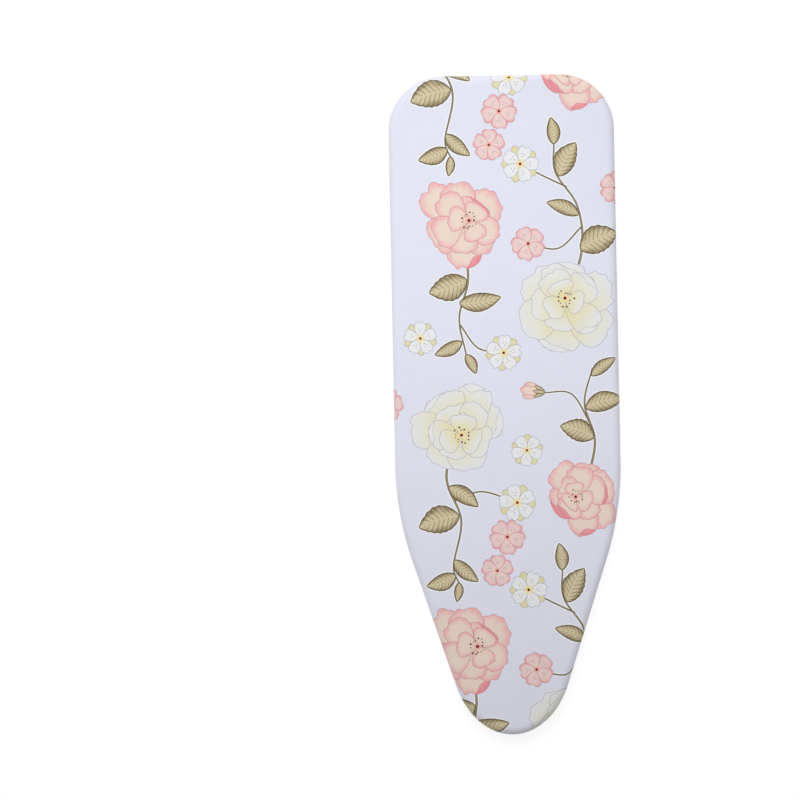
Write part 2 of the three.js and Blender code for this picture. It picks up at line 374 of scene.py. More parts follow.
def wrap(place, run, depth, flat=None):
    """Points in space of cloth at a place along the outline, past the rim by a run, and a depth inside."""
    points, outs = stations(place)
    rows = between(run, line_run, line_rows)
    inset, z = (rows[:, :2] + (gather(place, run) - depth)[:, None] * unit(rows[:, 2:])).T
    made = columns(points - inset[:, None] * outs, z)
    if flat is not None:
        on_face = np.nonzero(run <= 0)[0]
        fade = np.minimum(1, -run[on_face] / dimple_fade)
        lift = dimple_height * cloudy(flat[on_face], dimple_size, 0.5) * fade * fade * (3 - 2 * fade)
        made[on_face] = columns(flat[on_face], face_z - depth + lift)
    return made


# Print: blossoms, leaves and stems as outlines in the plane of the flat cloth.
# After its outline and ink, a shape has what its shading follows.
Shape = namedtuple("Shape", "points ink base angle length width bend seed")

line_width = 0.0010
lip_line = 0.0008
leaf_line = 0.0021
halo_width = 0.0021
stem_edge = 0.0011
petal_power = 0.45
leaf_power = 0.85
leaf_fullness = 0.8


def turned(points, angle):
    cos, sin = math.cos(angle), math.sin(angle)
    return points @ np.array([[cos, sin], [-sin, cos]])


def grown(points, distance):
    """A closed outline with every point moved out by a distance."""
    along = np.roll(points, -1, axis=0) - np.roll(points, 1, axis=0)
    out = columns(along[:, 1], -along[:, 0])
    return points + distance * out / np.maximum(np.linalg.norm(out, axis=1, keepdims=True), tiny)


def bordered(points, ink, line_ink, line, *facts):
    """A filled shape and the line round it."""
    return [
        Shape(grown(points, line / 2), line_ink, *facts),
        Shape(grown(points, -line / 2), ink, *facts),
    ]


petal_lobes = (4, 7, 11, 16)
lobe_heights = (0.4, 1.0)
cleft_width = 0.3
petal_density = 2.3
fewest_points = 18
wave_phases = (0, 6)


def petal_curve(turn, length, width):
    """Points of an even petal with its base at the origin, along X, and how near its tip they are."""
    share = (1 + np.cos(turn)) / 2
    return columns(length * share, width / 2 * np.sin(turn) * share ** petal_power), share


def petal(base, angle, length, width, ink, line_ink, draw, ruffle, cleft):
    """A petal with a ruffled and cleft tip."""
    count = max(fewest_points, round(petal_density * length / print_step))
    turn = np.linspace(-math.pi, math.pi, count, endpoint=False)
    points, share = petal_curve(turn, length, width)
    wave = sum(
        draw.uniform(*lobe_heights) / lobes ** 0.5 * np.cos(lobes * turn + draw.uniform(0, 2 * math.pi))
        for lobes in petal_lobes
    )
    points *= 1 + ruffle * (wave * share)[:, None]
    points[:, 0] -= cleft * length * np.exp(-(turn / cleft_width) ** 2)
    facts = (base, angle, length, width, 0, draw.random())
    return bordered(turned(points, angle) + base, ink, line_ink, line_width, *facts)


lip_reach = (0.55, 0.85)
lip_skew = 0.6
lip_depth = (0.12, 0.18)
lip_wave = 0.25
lip_waves = 5


def turnover(base, angle, length, width, ink, line_ink, draw):
    """The lip of a petal curled over at its tip: a crescent between its edge and a deeper arc."""
    reach = draw.uniform(*lip_reach)
    skew = draw.uniform(-lip_skew, lip_skew)
    turn = np.linspace(-reach, reach, fewest_points)
    outer, _ = petal_curve(turn + skew, length, width)
    depth = draw.uniform(*lip_depth) * np.cos(turn / reach * math.pi / 2)
    depth *= 1 + lip_wave * np.sin(lip_waves * (turn + skew) + draw.uniform(*wave_phases))
    points = np.vstack([outer, (outer * (1 - depth[:, None]))[-2:0:-1]])
    facts = (base, angle, length, width, 0, draw.random())
    return bordered(turned(points, angle) + base, ink, line_ink, lip_line, *facts)


fewest_dot_points = 6


def dot(centre, radius, ink):
    count = max(fewest_dot_points, round(4 * math.pi * radius / print_step))
    points = centre + radius * around(np.linspace(0, 2 * math.pi, count, endpoint=False))
    return Shape(points, ink, centre, 0, 2 * radius, 2 * radius, 0, 0)


def polar(centre, angle, distance):
    return centre + distance * np.array([math.cos(angle), math.sin(angle)])


# Rings of a blossom's petals: how many, reach, spread, how far the ring is turned, and its place
blossom_rings = ((6, 1.0, 1.36, 0.0, 0.0), (5, 0.76, 1.24, 0.4, 0.09), (3, 0.46, 1.06, 0.2, 0.2))
petal_spread = 0.84
petal_sway = 0.16
petal_sizes = (0.8, 1.12)
petal_widths = (0.88, 1.08)
petal_ruffle = 0.062
deepest_cleft = 0.07
lip_share = 0.22
fold_share = 0.3
fold_turn = 0.5
fold_length, fold_width = 0.55, 0.3
flat_ruffle = 0.02
eye_size = 0.07
heart_size = 0.034
stamens = 13
stamen_sway = 0.2
stamen_reach = (0.1, 0.19)
stamen_sizes = (0.012, 0.022)


def slanted(turn, tilt, lean):
    """A petal's direction, and the stretch of its length and width, on a flower seen at a slant."""
    cos, sin = math.cos(turn - lean), math.sin(turn - lean)
    return lean + math.atan2(tilt * sin, cos), math.hypot(cos, tilt * sin), math.hypot(sin, tilt * cos)


def blossom(centre, angle, radius, tilt, family, draw):
    """A large open blossom: rings of uneven petals, some curled or folded, and stamens."""
    ink, line_ink, lip_ink = family + "_petal", family + "_line", family + "_lip"
    made = []
    for count, reach, spread, offset, heart in blossom_rings:
        length = radius * reach
        width = 2 * length * math.sin(math.pi / count) * spread * petal_spread
        base = polar(centre, angle, radius * heart)
        order = list(range(count))
        draw.shuffle(order)
        for index in order:
            turn = angle + 2 * math.pi * (index + offset) / count + draw.uniform(-petal_sway, petal_sway)
            turn, long, wide = slanted(turn, tilt, angle + math.pi / 2)
            size = (length * draw.uniform(*petal_sizes) * long, width * draw.uniform(*petal_widths) * wide)
            cleft = draw.uniform(0, deepest_cleft)
            made += petal(base, turn, *size, ink, line_ink, draw, petal_ruffle, cleft)
            kind = draw.random() if reach > blossom_rings[-1][1] else 1
            if kind < lip_share:
                made += turnover(base, turn, *size, lip_ink, line_ink, draw)
            elif kind < lip_share + fold_share:
                turn += draw.choice((-fold_turn, fold_turn))
                size = (size[0] * fold_length, size[1] * fold_width)
                made += petal(base, turn, *size, lip_ink, line_ink, draw, flat_ruffle, 0)
    heart = polar(centre, angle, radius * blossom_rings[-1][-1])
    made.append(dot(heart, radius * eye_size, family + "_eye"))
    for index in range(stamens):
        turn = 2 * math.pi * index / stamens + draw.uniform(-stamen_sway, stamen_sway)
        place = polar(heart, turn, radius * draw.uniform(*stamen_reach))
        made.append(dot(place, radius * draw.uniform(*stamen_sizes), "stamen"))
    return made + [dot(heart, radius * heart_size, "stamen")]


# A small flower's sizes, as shares of its radius
flower_petals = 5
flower_widths = {"cream": 0.86, "pink": 1.15}
flower_sway = 0.06
sepal_size = (0.98, 0.62)
flower_eye = 0.17
flower_heart = 0.075
flower_ruffle, flower_cleft = 0.05, 0.1
sepal_ruffle = 0.03
speck_size = 0.024
speck_reach = 0.4
speck_turn = 0.14


def small_flower(centre, angle, radius, family, draw):
    """A small flower of five cleft petals. A cream one has five sepals under them."""
    made = []
    line_ink = family + "_line"
    turns = [angle + 2 * math.pi * index / flower_petals for index in range(flower_petals)]
    if family == "cream":
        for turn in turns:
            turn += math.pi / flower_petals
            size = (radius * share for share in sepal_size)
            made += petal(centre, turn, *size, "sepal", line_ink, draw, sepal_ruffle, 0)
    for turn in turns:
        turn += draw.uniform(-flower_sway, flower_sway)
        facts = (radius, radius * flower_widths[family], "small_" + family, line_ink, draw)
        made += petal(centre, turn, *facts, flower_ruffle, flower_cleft)
    made.append(dot(centre, radius * flower_eye, family + "_eye"))
    made.append(dot(centre, radius * flower_heart, "stamen"))
    for turn in turns:
        for side in (-speck_turn, 0, speck_turn):
            place = polar(centre, turn + side, radius * (speck_reach + abs(side)))
            made.append(dot(place, radius * speck_size, "stamen"))
    return made


leaf_density = 1.1
fewest_leaf_points = 12
tooth_counts = (11, 15)
broad_leaf = 0.55
broad_teeth, narrow_teeth = 0.07, 0.02


def leaf_outline(base, angle, length, width, bend, teeth, draw):
    along = np.linspace(0, 1, max(fewest_leaf_points, round(length / print_step * leaf_density)))
    half = np.sin(math.pi * along ** leaf_power) ** leaf_fullness
    middle = bend * 4 * along * (1 - along)
    sides = []
    for side in (1, -1):
        saw = np.sin(along * math.pi * draw.uniform(*tooth_counts) + draw.uniform(*wave_phases))
        edge = middle + side * half * (1 + teeth * saw * along)
        sides.append(columns(along * length, width / 2 * edge))
    return turned(np.vstack([sides[1], sides[0][-2:0:-1]]), angle) + base


def leaf(base, angle, length, width, bend, draw):
    """A leaf with its pale halo, dark edge and veins. Only a broad one is toothed."""
    teeth = broad_teeth if width > broad_leaf * length else narrow_teeth
    points = leaf_outline(base, angle, length, width, bend, teeth, draw)
    facts = (base, angle, length, width, bend, draw.random())
    halo = Shape(grown(points, halo_width + leaf_line / 2), "halo", *facts)
    return [halo, *bordered(points, "leaf", "leaf_line", leaf_line, *facts)]


def smooth_path(points, step):
    """A smooth line through a few chosen points."""
    points = np.array(points, float)
    ends = np.vstack([2 * points[0] - points[1], points, 2 * points[-1] - points[-2]])
    made = []
    for a, b, c, d in zip(ends, ends[1:], ends[2:], ends[3:]):
        count = max(2, round(np.linalg.norm(c - b) / step))
        for t in np.arange(count) / count:
            square = (2 * a - 5 * b + 4 * c - d) * t * t
            made.append((2 * b + (c - a) * t + square + (3 * b - a - 3 * c + d) * t ** 3) / 2)
    return np.array([*made, points[-1]])


def stem(points, start_width, end_width):
    """A tapering stem with its halo, dark edge and paler middle."""
    path = smooth_path(points, stem_step)
    along = unit(np.gradient(path, axis=0))
    out = columns(along[:, 1], -along[:, 0]) * np.linspace(start_width, end_width, len(path))[:, None] / 2
    points = np.vstack([path + out, (path - out)[::-1]])
    inks = ((halo_width, "halo"), (0, "leaf_line"), (-stem_edge, "stem"))
    return [Shape(grown(points, grow), ink, path[0], 0, 1, 1, 0, 0) for grow, ink in inks]


# A bud's petals and the leaves of its cup: direction, length and width as shares of its length
bud_petals = ((-0.24, 0.9, 0.5), (0.24, 0.92, 0.5), (0, 1.0, 0.5))
bud_leaves = ((-0.5, 0.5, 0.17), (0.5, 0.5, 0.17), (0, 0.5, 0.17))


def bud(base, angle, length, draw):
    """A closed pink bud in its green cup."""
    made = []
    for side, *size in bud_petals:
        size = (length * share for share in size)
        made += petal(base, angle + side, *size, "pink_petal", "pink_line", draw, flat_ruffle, 0)
    for side, *size in bud_leaves:
        facts = (base, angle + side, *(length * share for share in size), 0)
        made += bordered(leaf_outline(*facts, 0, draw), "leaf", "leaf_line", line_width, *facts, 0.5)
    return made


# One repeat of the print, with places in metres from its lower left corner, and degrees
repeat_width = 0.44
repeat_height = 0.80
blossom_radius = 0.088
flower_radius = 0.036
stem_width, stem_tip = 0.0054, 0.0027
twig_width, twig_tip, thin_tip = 0.00306, 0.00272, 0.00238

# Kind, x, y, direction, size and slant
blossom_places = (
    ("pink", 0.110, 0.640, 25, 1.0, 0.88),
    ("cream", 0.300, 0.480, 80, 1.06, 0.92),
    ("pink", 0.330, 0.130, 200, 0.86, 0.84),
    ("cream", 0.095, 0.260, 300, 1.0, 0.86),
)
# Kind, x, y, direction and size
flower_places = (
    ("cream", 0.186, 0.398, 10, 0.96),
    ("pink", 0.236, 0.602, 40, 0.92),
    ("cream", 0.224, 0.752, 0, 1.0),
    ("pink", 0.166, 0.789, 15, 0.86),
    ("pink", 0.186, 0.052, 55, 0.96),
    ("cream", 0.206, 0.116, 30, 1.0),
    ("cream", 0.030, 0.428, 20, 0.9),
    ("pink", 0.404, 0.704, 5, 0.9),
    ("cream", 0.226, 0.214, 50, 0.86),
)
# Width where it starts and ends, and its line
stem_lines = (
    (twig_width, twig_tip, (0.1055, 0.452), (0.138, 0.408), (0.186, 0.398)),
    (twig_width, twig_tip, (0.3372, 0.632), (0.292, 0.592), (0.236, 0.602)),
    (twig_width, twig_tip, (0.3105, 0.7072), (0.268, 0.728), (0.224, 0.752)),
    (twig_width, thin_tip, (0.346, 0.262), (0.312, 0.318), (0.262, 0.322)),
    (twig_width, twig_tip, (0.088, 0.122), (0.140, 0.138), (0.206, 0.116)),
    (stem_width, stem_tip, (0.110, 0.640), (0.122, 0.540), (0.104, 0.465), (0.116, 0.394)),
    (stem_width, stem_tip, (0.300, 0.480), (0.336, 0.585), (0.330, 0.670), (0.290, 0.735), (0.288, 0.790)),
    (stem_width, stem_tip, (0.330, 0.130), (0.354, 0.225), (0.336, 0.300), (0.352, 0.366)),
    (stem_width, stem_tip, (0.095, 0.260), (0.074, 0.165), (0.100, 0.085), (0.084, 0.000), (0.094, -0.034)),
)
# X, y, direction, length, width and bend
leaf_places = (
    (0.119, 0.536, 198, 0.074, 0.048, 0.15),
    (0.105, 0.492, 8, 0.078, 0.034, -0.2),
    (0.108, 0.420, 205, 0.056, 0.024, 0.2),
    (0.334, 0.590, 22, 0.078, 0.050, 0.2),
    (0.332, 0.655, 158, 0.064, 0.026, -0.25),
    (0.296, 0.728, 62, 0.070, 0.040, 0.2),
    (0.352, 0.236, 160, 0.066, 0.040, -0.2),
    (0.338, 0.292, 12, 0.074, 0.036, 0.25),
    (0.350, 0.352, 35, 0.056, 0.022, 0.2),
    (0.078, 0.148, 325, 0.066, 0.030, 0.2),
    (0.096, 0.094, 196, 0.078, 0.050, -0.15),
    (0.085, 0.010, 318, 0.060, 0.026, -0.2),
    (0.088, -0.018, 200, 0.058, 0.030, 0.25),
    (0.1155, 0.396, 296, 0.040, 0.019, 0.2),
    (0.288, 0.788, 96, 0.050, 0.024, -0.2),
    (0.094, -0.032, 262, 0.036, 0.016, 0.15),
)
bud_places = ((0.262, 0.322, 172, 0.046),)
print_seed = 7


def repeat_unit():
    """The shapes of one repeat, from the lowest to the topmost."""
    draw = random.Random(print_seed)
    made = []
    for start, end, *points in stem_lines:
        made += stem(points, start, end)
    for maker, places in ((leaf, leaf_places), (bud, bud_places)):
        for x, y, angle, *facts in places:
            made += maker(np.array([x, y]), math.radians(angle), *facts, draw)
    for family, x, y, angle, size in flower_places:
        made += small_flower(np.array([x, y]), math.radians(angle), flower_radius * size, family, draw)
    for family, x, y, angle, size, tilt in blossom_places:
        made += blossom(np.array([x, y]), math.radians(angle), blossom_radius * size, tilt, family, draw)
    return made


# Where the first repeat lies on the cloth, and how many there may be each way
print_start = (-0.190, -0.30)
print_columns = range(-2, 3)
print_rows = range(-3, 4)


def whole_print(low, high):
    """The shapes that touch the cloth. Every other column of repeats is half a repeat lower."""
    made = []
    for shape in sorted(repeat_unit(), key=lambda shape: shape.ink != "halo"):
        for column in print_columns:
            for row in print_rows:
                across = print_start[0] + column * repeat_width
                shift = np.array([across, print_start[1] + (row + 0.5 * (column % 2)) * repeat_height])
                points = shape.points + shift
                if (points.max(axis=0) > low).all() and (points.min(axis=0) < high).all():
                    made.append(shape._replace(points=points, base=shape.base + shift))
    return made


def inside_polygon(points, polygon):
    """Which points lie inside a closed polygon."""
    x, y = points.T
    found = np.zeros(len(points), bool)
    for (x0, y0), (x1, y1) in zip(polygon, np.roll(polygon, -1, axis=0)):
        if y0 != y1:
            found ^= ((y0 > y) != (y1 > y)) & (x < x0 + (y - y0) * (x1 - x0) / (y1 - y0))
    return found


def covering(points, outlines):
    """The index of the topmost outline over each point, or -1."""
    top = np.full(len(points), -1)
    for index, outline in enumerate(outlines):
        near = (points > outline.min(axis=0)).all(axis=1) & (points < outline.max(axis=0)).all(axis=1)
        near = np.nonzero(near)[0]
        if len(near):
            top[near[inside_polygon(points[near], outline)]] = index
    return top


hidden_margin = 0.0004


def print_edges(outlines):
    """The points and edges of the outlines that show, and aren't under a later outline."""
    starts = summed([len(outline) for outline in outlines])
    points = np.vstack(outlines)
    owner = np.repeat(np.arange(len(outlines)), np.diff(starts))
    hidden = covering(points, [grown(outline, -hidden_margin) for outline in outlines]) > owner
    edges = [
        (start + a, start + b)
        for start, outline in zip(starts, outlines)
        for a, b in ring_edges(0, len(outline))
        if not (hidden[start + a] and hidden[start + b])
    ]
    used, renumbered = np.unique(np.array(edges), return_inverse=True)
    return points[used], renumbered.reshape(-1, 2)


def ring_edges(start, count):
    return [(start + i, start + (i + 1) % count) for i in range(count)]


def clear_of(points, others, distance):
    """The points that lie further than a distance from all others."""
    tree = tree_of(others)
    return np.array([(x, y) for x, y in points if tree.find((x, y, 0))[2] > distance])


def hex_points(low, high, step):
    rows = np.arange(low[1], high[1], step * math.sqrt(0.75))
    made = []
    for index, y in enumerate(rows):
        xs = np.arange(low[0] + (index % 2) * step / 2, high[0], step)
        made.append(columns(xs, np.full(len(xs), y)))
    return np.vstack(made)


def triangulate(ring, others, edges):
    """Triangles inside a closed ring over its points and others, with edges between the others kept.
    Gives the points, the triangles and the ring's own points."""
    count = len(ring)
    edges = ring_edges(0, count) + [(count + a, count + b) for a, b in edges]
    points = [Vector(point) for point in np.vstack([ring, others])]
    made = delaunay_2d_cdt(points, edges, [], 1, merge_distance, True)
    ring_points = np.zeros(count, int)
    for index, sources in enumerate(made[3]):
        for source in sources:
            if source < count:
                ring_points[source] = index
    return np.array([(p.x, p.y) for p in made[0]]), peeled(np.array(made[2]), ring_points), ring_points


def edge_keys(edges):
    """One number for each edge, the same both ways round."""
    edges = np.sort(edges, axis=-1)
    return edges[..., 0] * most_points + edges[..., 1]


def peeled(triangles, ring_points):
    """The triangles without those outside the ring, which have a free edge that isn't one of the ring's."""
    ring = edge_keys(columns(ring_points, np.roll(ring_points, -1)))
    while True:
        keys = edge_keys(triangles[:, [[0, 1], [1, 2], [2, 0]]])
        _, which, uses = np.unique(keys, return_inverse=True, return_counts=True)
        outside = ((uses[which].reshape(keys.shape) == 1) & ~np.isin(keys, ring)).any(axis=1)
        if not outside.any():
            return triangles
        triangles = triangles[~outside]


def cloth_rows(over_edge, on_side, over_hem, fold_parts):
    """Rows across the cloth past the rim, as runs. Each change in the strength of the folds has its row."""
    marks = [0, *fold_runs, line_length]
    counts = [over_edge, on_side, over_hem, *[fold_parts] * len(under_shares), 1, 1, 1, 1]
    steps = [np.linspace(start, end, count + 1)[1:] for start, end, count in zip(marks, marks[1:], counts)]
    return np.concatenate(steps)


# Materials

def ink(red, green, blue):
    """A printed colour, from its look in plain light, as a linear colour."""
    return (*(((c / 255 + 0.055) / 1.055) ** 2.4 for c in (red, green, blue)), 1)


class Value:
    """A value, vector or colour within a material, with the arithmetic of a number."""

    def __init__(self, paint, socket):
        self.paint = paint
        self.socket = socket

    def apply(self, operation, *others):
        return self.paint.value("ShaderNodeMath", dict(enumerate((self, *others))), operation=operation)

    __add__ = partialmethod(apply, "ADD")
    __sub__ = partialmethod(apply, "SUBTRACT")
    __mul__ = partialmethod(apply, "MULTIPLY")
    __truediv__ = partialmethod(apply, "DIVIDE")
    __pow__ = partialmethod(apply, "POWER")
    highest = partialmethod(apply, "MAXIMUM")

    def smooth(self, low, high):
        """A smooth rise from 0 at low to 1 at high, or a fall where low is the higher."""
        inputs = {"Value": self, "From Min": low, "From Max": high}
        return self.paint.value("ShaderNodeMapRange", inputs, interpolation_type="SMOOTHSTEP")

    def split(self):
        outputs = self.paint.node("ShaderNodeSeparateXYZ", {"Vector": self}).outputs
        return [Value(self.paint, socket) for socket in outputs]


class Paint:
    """The nodes of one material, or of the world, built with short calls."""

    def __init__(self, name, world=False):
        self.block = (bpy.data.worlds if world else bpy.data.materials).new(name)
        self.block.use_nodes = True
        self.tree = self.block.node_tree
        self.tree.nodes.clear()

    def node(self, kind, inputs=(), **settings):
        made = self.tree.nodes.new(kind)
        for name, value in settings.items():
            setattr(made, name, value)
        for socket, value in dict(inputs).items():
            if isinstance(value, Value):
                self.tree.links.new(value.socket, made.inputs[socket])
            else:
                made.inputs[socket].default_value = value
        return made

    def value(self, kind, inputs=(), output=0, **settings):
        return Value(self, self.node(kind, inputs, **settings).outputs[output])

    def mix(self, share, first, second, blend="MIX"):
        inputs = {0: share, 6: first, 7: second}
        return self.value("ShaderNodeMix", inputs, 2, data_type="RGBA", blend_type=blend)

    def attribute(self, name, output="Vector"):
        return self.value("ShaderNodeAttribute", output=output, attribute_name=name)

    def place(self):
        return self.value("ShaderNodeTexCoord", output="Object")

    def joined(self, x, y, z):
        return self.value("ShaderNodeCombineXYZ", {"X": x, "Y": y, "Z": z})

    def noise(self, vector, scale, detail=2.0):
        return self.value("ShaderNodeTexNoise", {"Vector": vector, "Scale": scale, "Detail": detail})

    def seen(self):
        """1 for the rays that show a surface straight on, mirrored or through glass, and 0 for the rest."""
        names = ("Is Camera Ray", "Is Glossy Ray", "Is Transmission Ray")
        straight, mirrored, through = (self.value("ShaderNodeLightPath", output=name) for name in names)
        return straight.highest(mirrored.highest(through))

    def finish(self, color, height, roughness, strength, distance, **settings):
        """The shader itself, with a fine relief."""
        relief = {"Height": height, "Strength": strength, "Distance": distance}
        inputs = {"Base Color": color, "Roughness": roughness, **settings}
        inputs["Normal"] = self.value("ShaderNodeBump", relief)
        shader = self.value("ShaderNodeBsdfPrincipled", inputs)
        self.node("ShaderNodeOutputMaterial", {"Surface": shader})
        return self.block


thread_pitch = 0.00046
slant_pitch = 1.4 * thread_pitch
thread_relief = 0.5
# How strongly the weave's painted shade darkens the colour where the threads sink, and lightens it where
# they rise
weave_painted_shade = 0.02
mottle_shade = 0.05
slub_stretch = 0.12


def crossing(first, second, pitch):
    """Threads of a weave that cross each other, from -1 to 1."""
    first, second = ((along * (math.pi / pitch)).apply("SINE") for along in (first, second))
    return first * second


def woven(name, color, *facts):
    """Plain-weave cotton: its threads, their unevenness and a faint mottle follow the cloth. The threads
    also paint a faint shade and light into the colour where the weave sinks and rises.
    """
    paint = Paint(name)
    if callable(color):
        color = color(paint, *facts)
    cloth = paint.attribute("cloth")
    x, y, _ = cloth.split()
    threads = crossing(x, y, thread_pitch)
    slubs = paint.noise(paint.joined(x * slub_stretch, y, 0), scale=900.0)
    mottle = paint.noise(cloth, scale=22.0, detail=4.0)
    # Painted shade and light: the threads darken the colour a little where the weave sinks and lighten it
    # where it rises; the mottle is the cloth's own uneven tone.
    shade = threads * weave_painted_shade + mottle * mottle_shade + (1 - mottle_shade / 2)
    toned = paint.mix(1.0, color, paint.joined(shade, shade, shade), "MULTIPLY")
    facts = {"roughness": 0.82, "strength": 0.35, "distance": 0.00006}
    facts.update({"Sheen Weight": 0.12, "Sheen Roughness": 0.4, "Specular IOR Level": 0.35})
    return paint.finish(toned, threads * thread_relief + slubs, **facts)


# Strokes of a petal's colour: how drawn out they are, their reach, and the share of it at the base
stroke_stretch = 5.0
stroke_reach = 0.5
stroke_base = 0.6
petal_seeds, leaf_seeds = 37.0, 29.0
petal_rim_end = 1.06
petal_base_start = 0.05
least_share = 0.01


def petal_ink(paint, body, rim, base, rim_start=0.72, base_end=0.55):
    """A petal's colour, from its base through its body to its rim, in soft strokes."""
    u, v, _ = paint.attribute("motif").split()
    share = (u * 0.5 + 0.5).highest(least_share)
    across = v / share ** petal_power
    edge = (u * u + across * across).apply("SQRT")
    strokes = paint.joined(across * stroke_stretch, share, paint.attribute("seed", "Fac") * petal_seeds)
    soft = paint.noise(strokes, scale=1.6, detail=3.0) * stroke_reach - stroke_reach / 2
    color = paint.mix((edge + soft).smooth(rim_start, petal_rim_end), body, rim)
    return paint.mix((share - soft * stroke_base).smooth(base_end, petal_base_start), color, base)


least_half = 0.02
leaf_cloud = 0.7
leaf_edge = (0.35, 1.05)
vein_count = 8.5
vein_slant = 1.5
vein_edges, vein_strength = (0.13, 0.02), 0.82
ridge_edges, ridge_strength = (0.36, 0.48), 0.35
rib_edges = (0.09, 0.04)


def leaf_ink(paint):
    """A leaf's colour: darker to its edge, with a pale midrib and fine dark side veins."""
    u, v, bend = paint.attribute("motif").split()
    share = (u * 0.5 + 0.5).highest(least_share)
    from_rib = v - bend * (share - share * share) * 4
    half = (share ** leaf_power * math.pi).apply("SINE").highest(least_half) ** leaf_fullness
    across = (from_rib / half).apply("ABSOLUTE")
    place = paint.joined(u, v, paint.attribute("seed", "Fac") * leaf_seeds)
    cloud = paint.noise(place, scale=2.2, detail=3.0)
    edge = (across + cloud * leaf_cloud - leaf_cloud / 2).smooth(*leaf_edge)
    vein = (share * vein_count - across * vein_slant).apply("PINGPONG", 0.5)
    color = paint.mix(edge, ink(203, 189, 154), ink(130, 114, 84))
    color = paint.mix(vein.smooth(*vein_edges) * vein_strength, color, ink(104, 89, 64))
    color = paint.mix(vein.smooth(*ridge_edges) * ridge_strength, color, ink(206, 196, 162))
    return paint.mix(from_rib.apply("ABSOLUTE").smooth(*rib_edges), color, ink(204, 194, 160))


# Inks: one colour, or a petal's body, rim and base, and where the rim starts and the base ends
inks = {
    "ground": ((0.704, 0.7105, 0.809, 1),),
    "halo": ((0.82, 0.822, 0.85, 1),),
    "leaf_line": (ink(98, 86, 62),),
    "stem": (ink(146, 136, 104),),
    "leaf": (leaf_ink,),
    "pink_line": (ink(196, 140, 146),),
    "pink_petal": (petal_ink, ink(228, 208, 194), ink(229, 172, 174), ink(224, 198, 180), 0.6),
    "pink_lip": (petal_ink, ink(230, 162, 166), ink(222, 136, 144), ink(230, 188, 186), 0.45),
    "pink_eye": (ink(232, 170, 160),),
    "small_pink": (petal_ink, ink(227, 200, 197), ink(222, 154, 161), ink(229, 208, 200), 0.62),
    "cream_line": (ink(172, 170, 182),),
    "cream_petal": (petal_ink, ink(222, 223, 220), ink(222, 223, 228), ink(222, 214, 162), 0.72, 1.0),
    "cream_lip": (petal_ink, ink(226, 225, 212), ink(222, 223, 226), ink(226, 218, 168), 0.5, 0.8),
    "cream_eye": (ink(234, 214, 158),),
    "small_cream": (petal_ink, ink(225, 226, 228), ink(220, 222, 230), ink(230, 220, 178), 0.8, 0.4),
    "sepal": (petal_ink, ink(218, 212, 166), ink(206, 198, 148), ink(224, 218, 176)),
    "stamen": (ink(96, 30, 52),),
}
ink_names = list(inks)

# The direction and scale of each layer of fibres
felt_fibres = ((0.2, 1500.0), (0.9, 1300.0), (1.7, 1650.0), (2.5, 1400.0))
fibre_stretch = 12.0
mat_share, mottle_share = 0.84, 0.14
speck_edges, speck_strength = (0.66, 0.74), 0.5


def felt_finish():
    """Needled felt: matted fibres in several directions over a soft mottle."""
    paint = Paint("felt")
    place = paint.place()
    mat = 0.0
    for turn, scale in felt_fibres:
        facts = {"Vector": place, "Rotation": (0, 0, turn), "Scale": (1, fibre_stretch, 1)}
        laid = paint.value("ShaderNodeMapping", facts, vector_type="TEXTURE")
        mat = paint.noise(laid, scale).highest(mat)
    tone = mat * mat_share + paint.noise(place, scale=34.0, detail=5.0) * mottle_share
    specks = paint.noise(place, scale=620.0).smooth(*speck_edges) * speck_strength
    color = paint.mix(tone.smooth(0.45, 0.72), ink(188, 185, 178), ink(226, 224, 218))
    color = paint.mix(specks, color, ink(150, 148, 146))
    facts = {"roughness": 0.96, "strength": 0.7, "distance": 0.0005, "Sheen Weight": 0.25}
    return paint.finish(color, mat, **facts)


def foam_finish():
    """Open-celled foam, painted darker in its pores as shade."""
    paint = Paint("foam")
    cells = paint.value("ShaderNodeTexVoronoi", {"Vector": paint.place(), "Scale": 900.0})
    # Painted shade: darker towards each cell's middle, where the relief sinks into a pore
    color = paint.mix(cells.smooth(0.1, 0.7), ink(212, 203, 174), ink(236, 229, 206))
    return paint.finish(color, cells, roughness=0.92, strength=0.5, distance=0.0004)


def tape_finish():
    """Bias tape: a close weave that runs slantwise along the hem, with a painted shade between its threads.
    """
    paint = Paint("binding_tape")
    cloth = paint.attribute("cloth")
    x, y, _ = cloth.split()
    threads = crossing(x + y, x - y, slant_pitch)
    rough = paint.noise(cloth, scale=120.0, detail=4.0)
    color = paint.mix(rough.smooth(0.25, 0.75), ink(222, 220, 214), ink(236, 235, 231))
    # Painted shade: a darker tone where the weave's relief sinks between the threads
    color = paint.mix(threads.smooth(0.2, -0.8), color, ink(206, 204, 198))
    facts = {"roughness": 0.8, "strength": 0.6, "distance": 0.00012, "Sheen Weight": 0.15}
    return paint.finish(color, threads * thread_relief + rough, **facts)


# Ridge heights at which the painted shade in a braid's hollows begins and is full
hollow_shade_edges = (0.75, 0.1)


def grained(name, scale, detail, tones, braid_hollow_shade=None, **facts):
    """Yarn or wire with a fine grain. The hollows of a braid are painted darker, as shade."""
    paint = Paint(name)
    grain = paint.noise(paint.place(), scale, detail)
    color = paint.mix(grain, *tones)
    if braid_hollow_shade:
        # Painted shade: darker in the braid's hollows, where the ridge is low
        color = paint.mix(paint.attribute("ridge", "Fac").smooth(*hollow_shade_edges), color, braid_hollow_shade)
    return paint.finish(color, grain, **facts)


# Tones and roughness of the two plastics
dark_plastic = (ink(52, 53, 57), ink(70, 71, 75), 0.42)
grey_plastic = (ink(74, 75, 80), ink(92, 93, 98), 0.36)
worn_roughness = 0.2


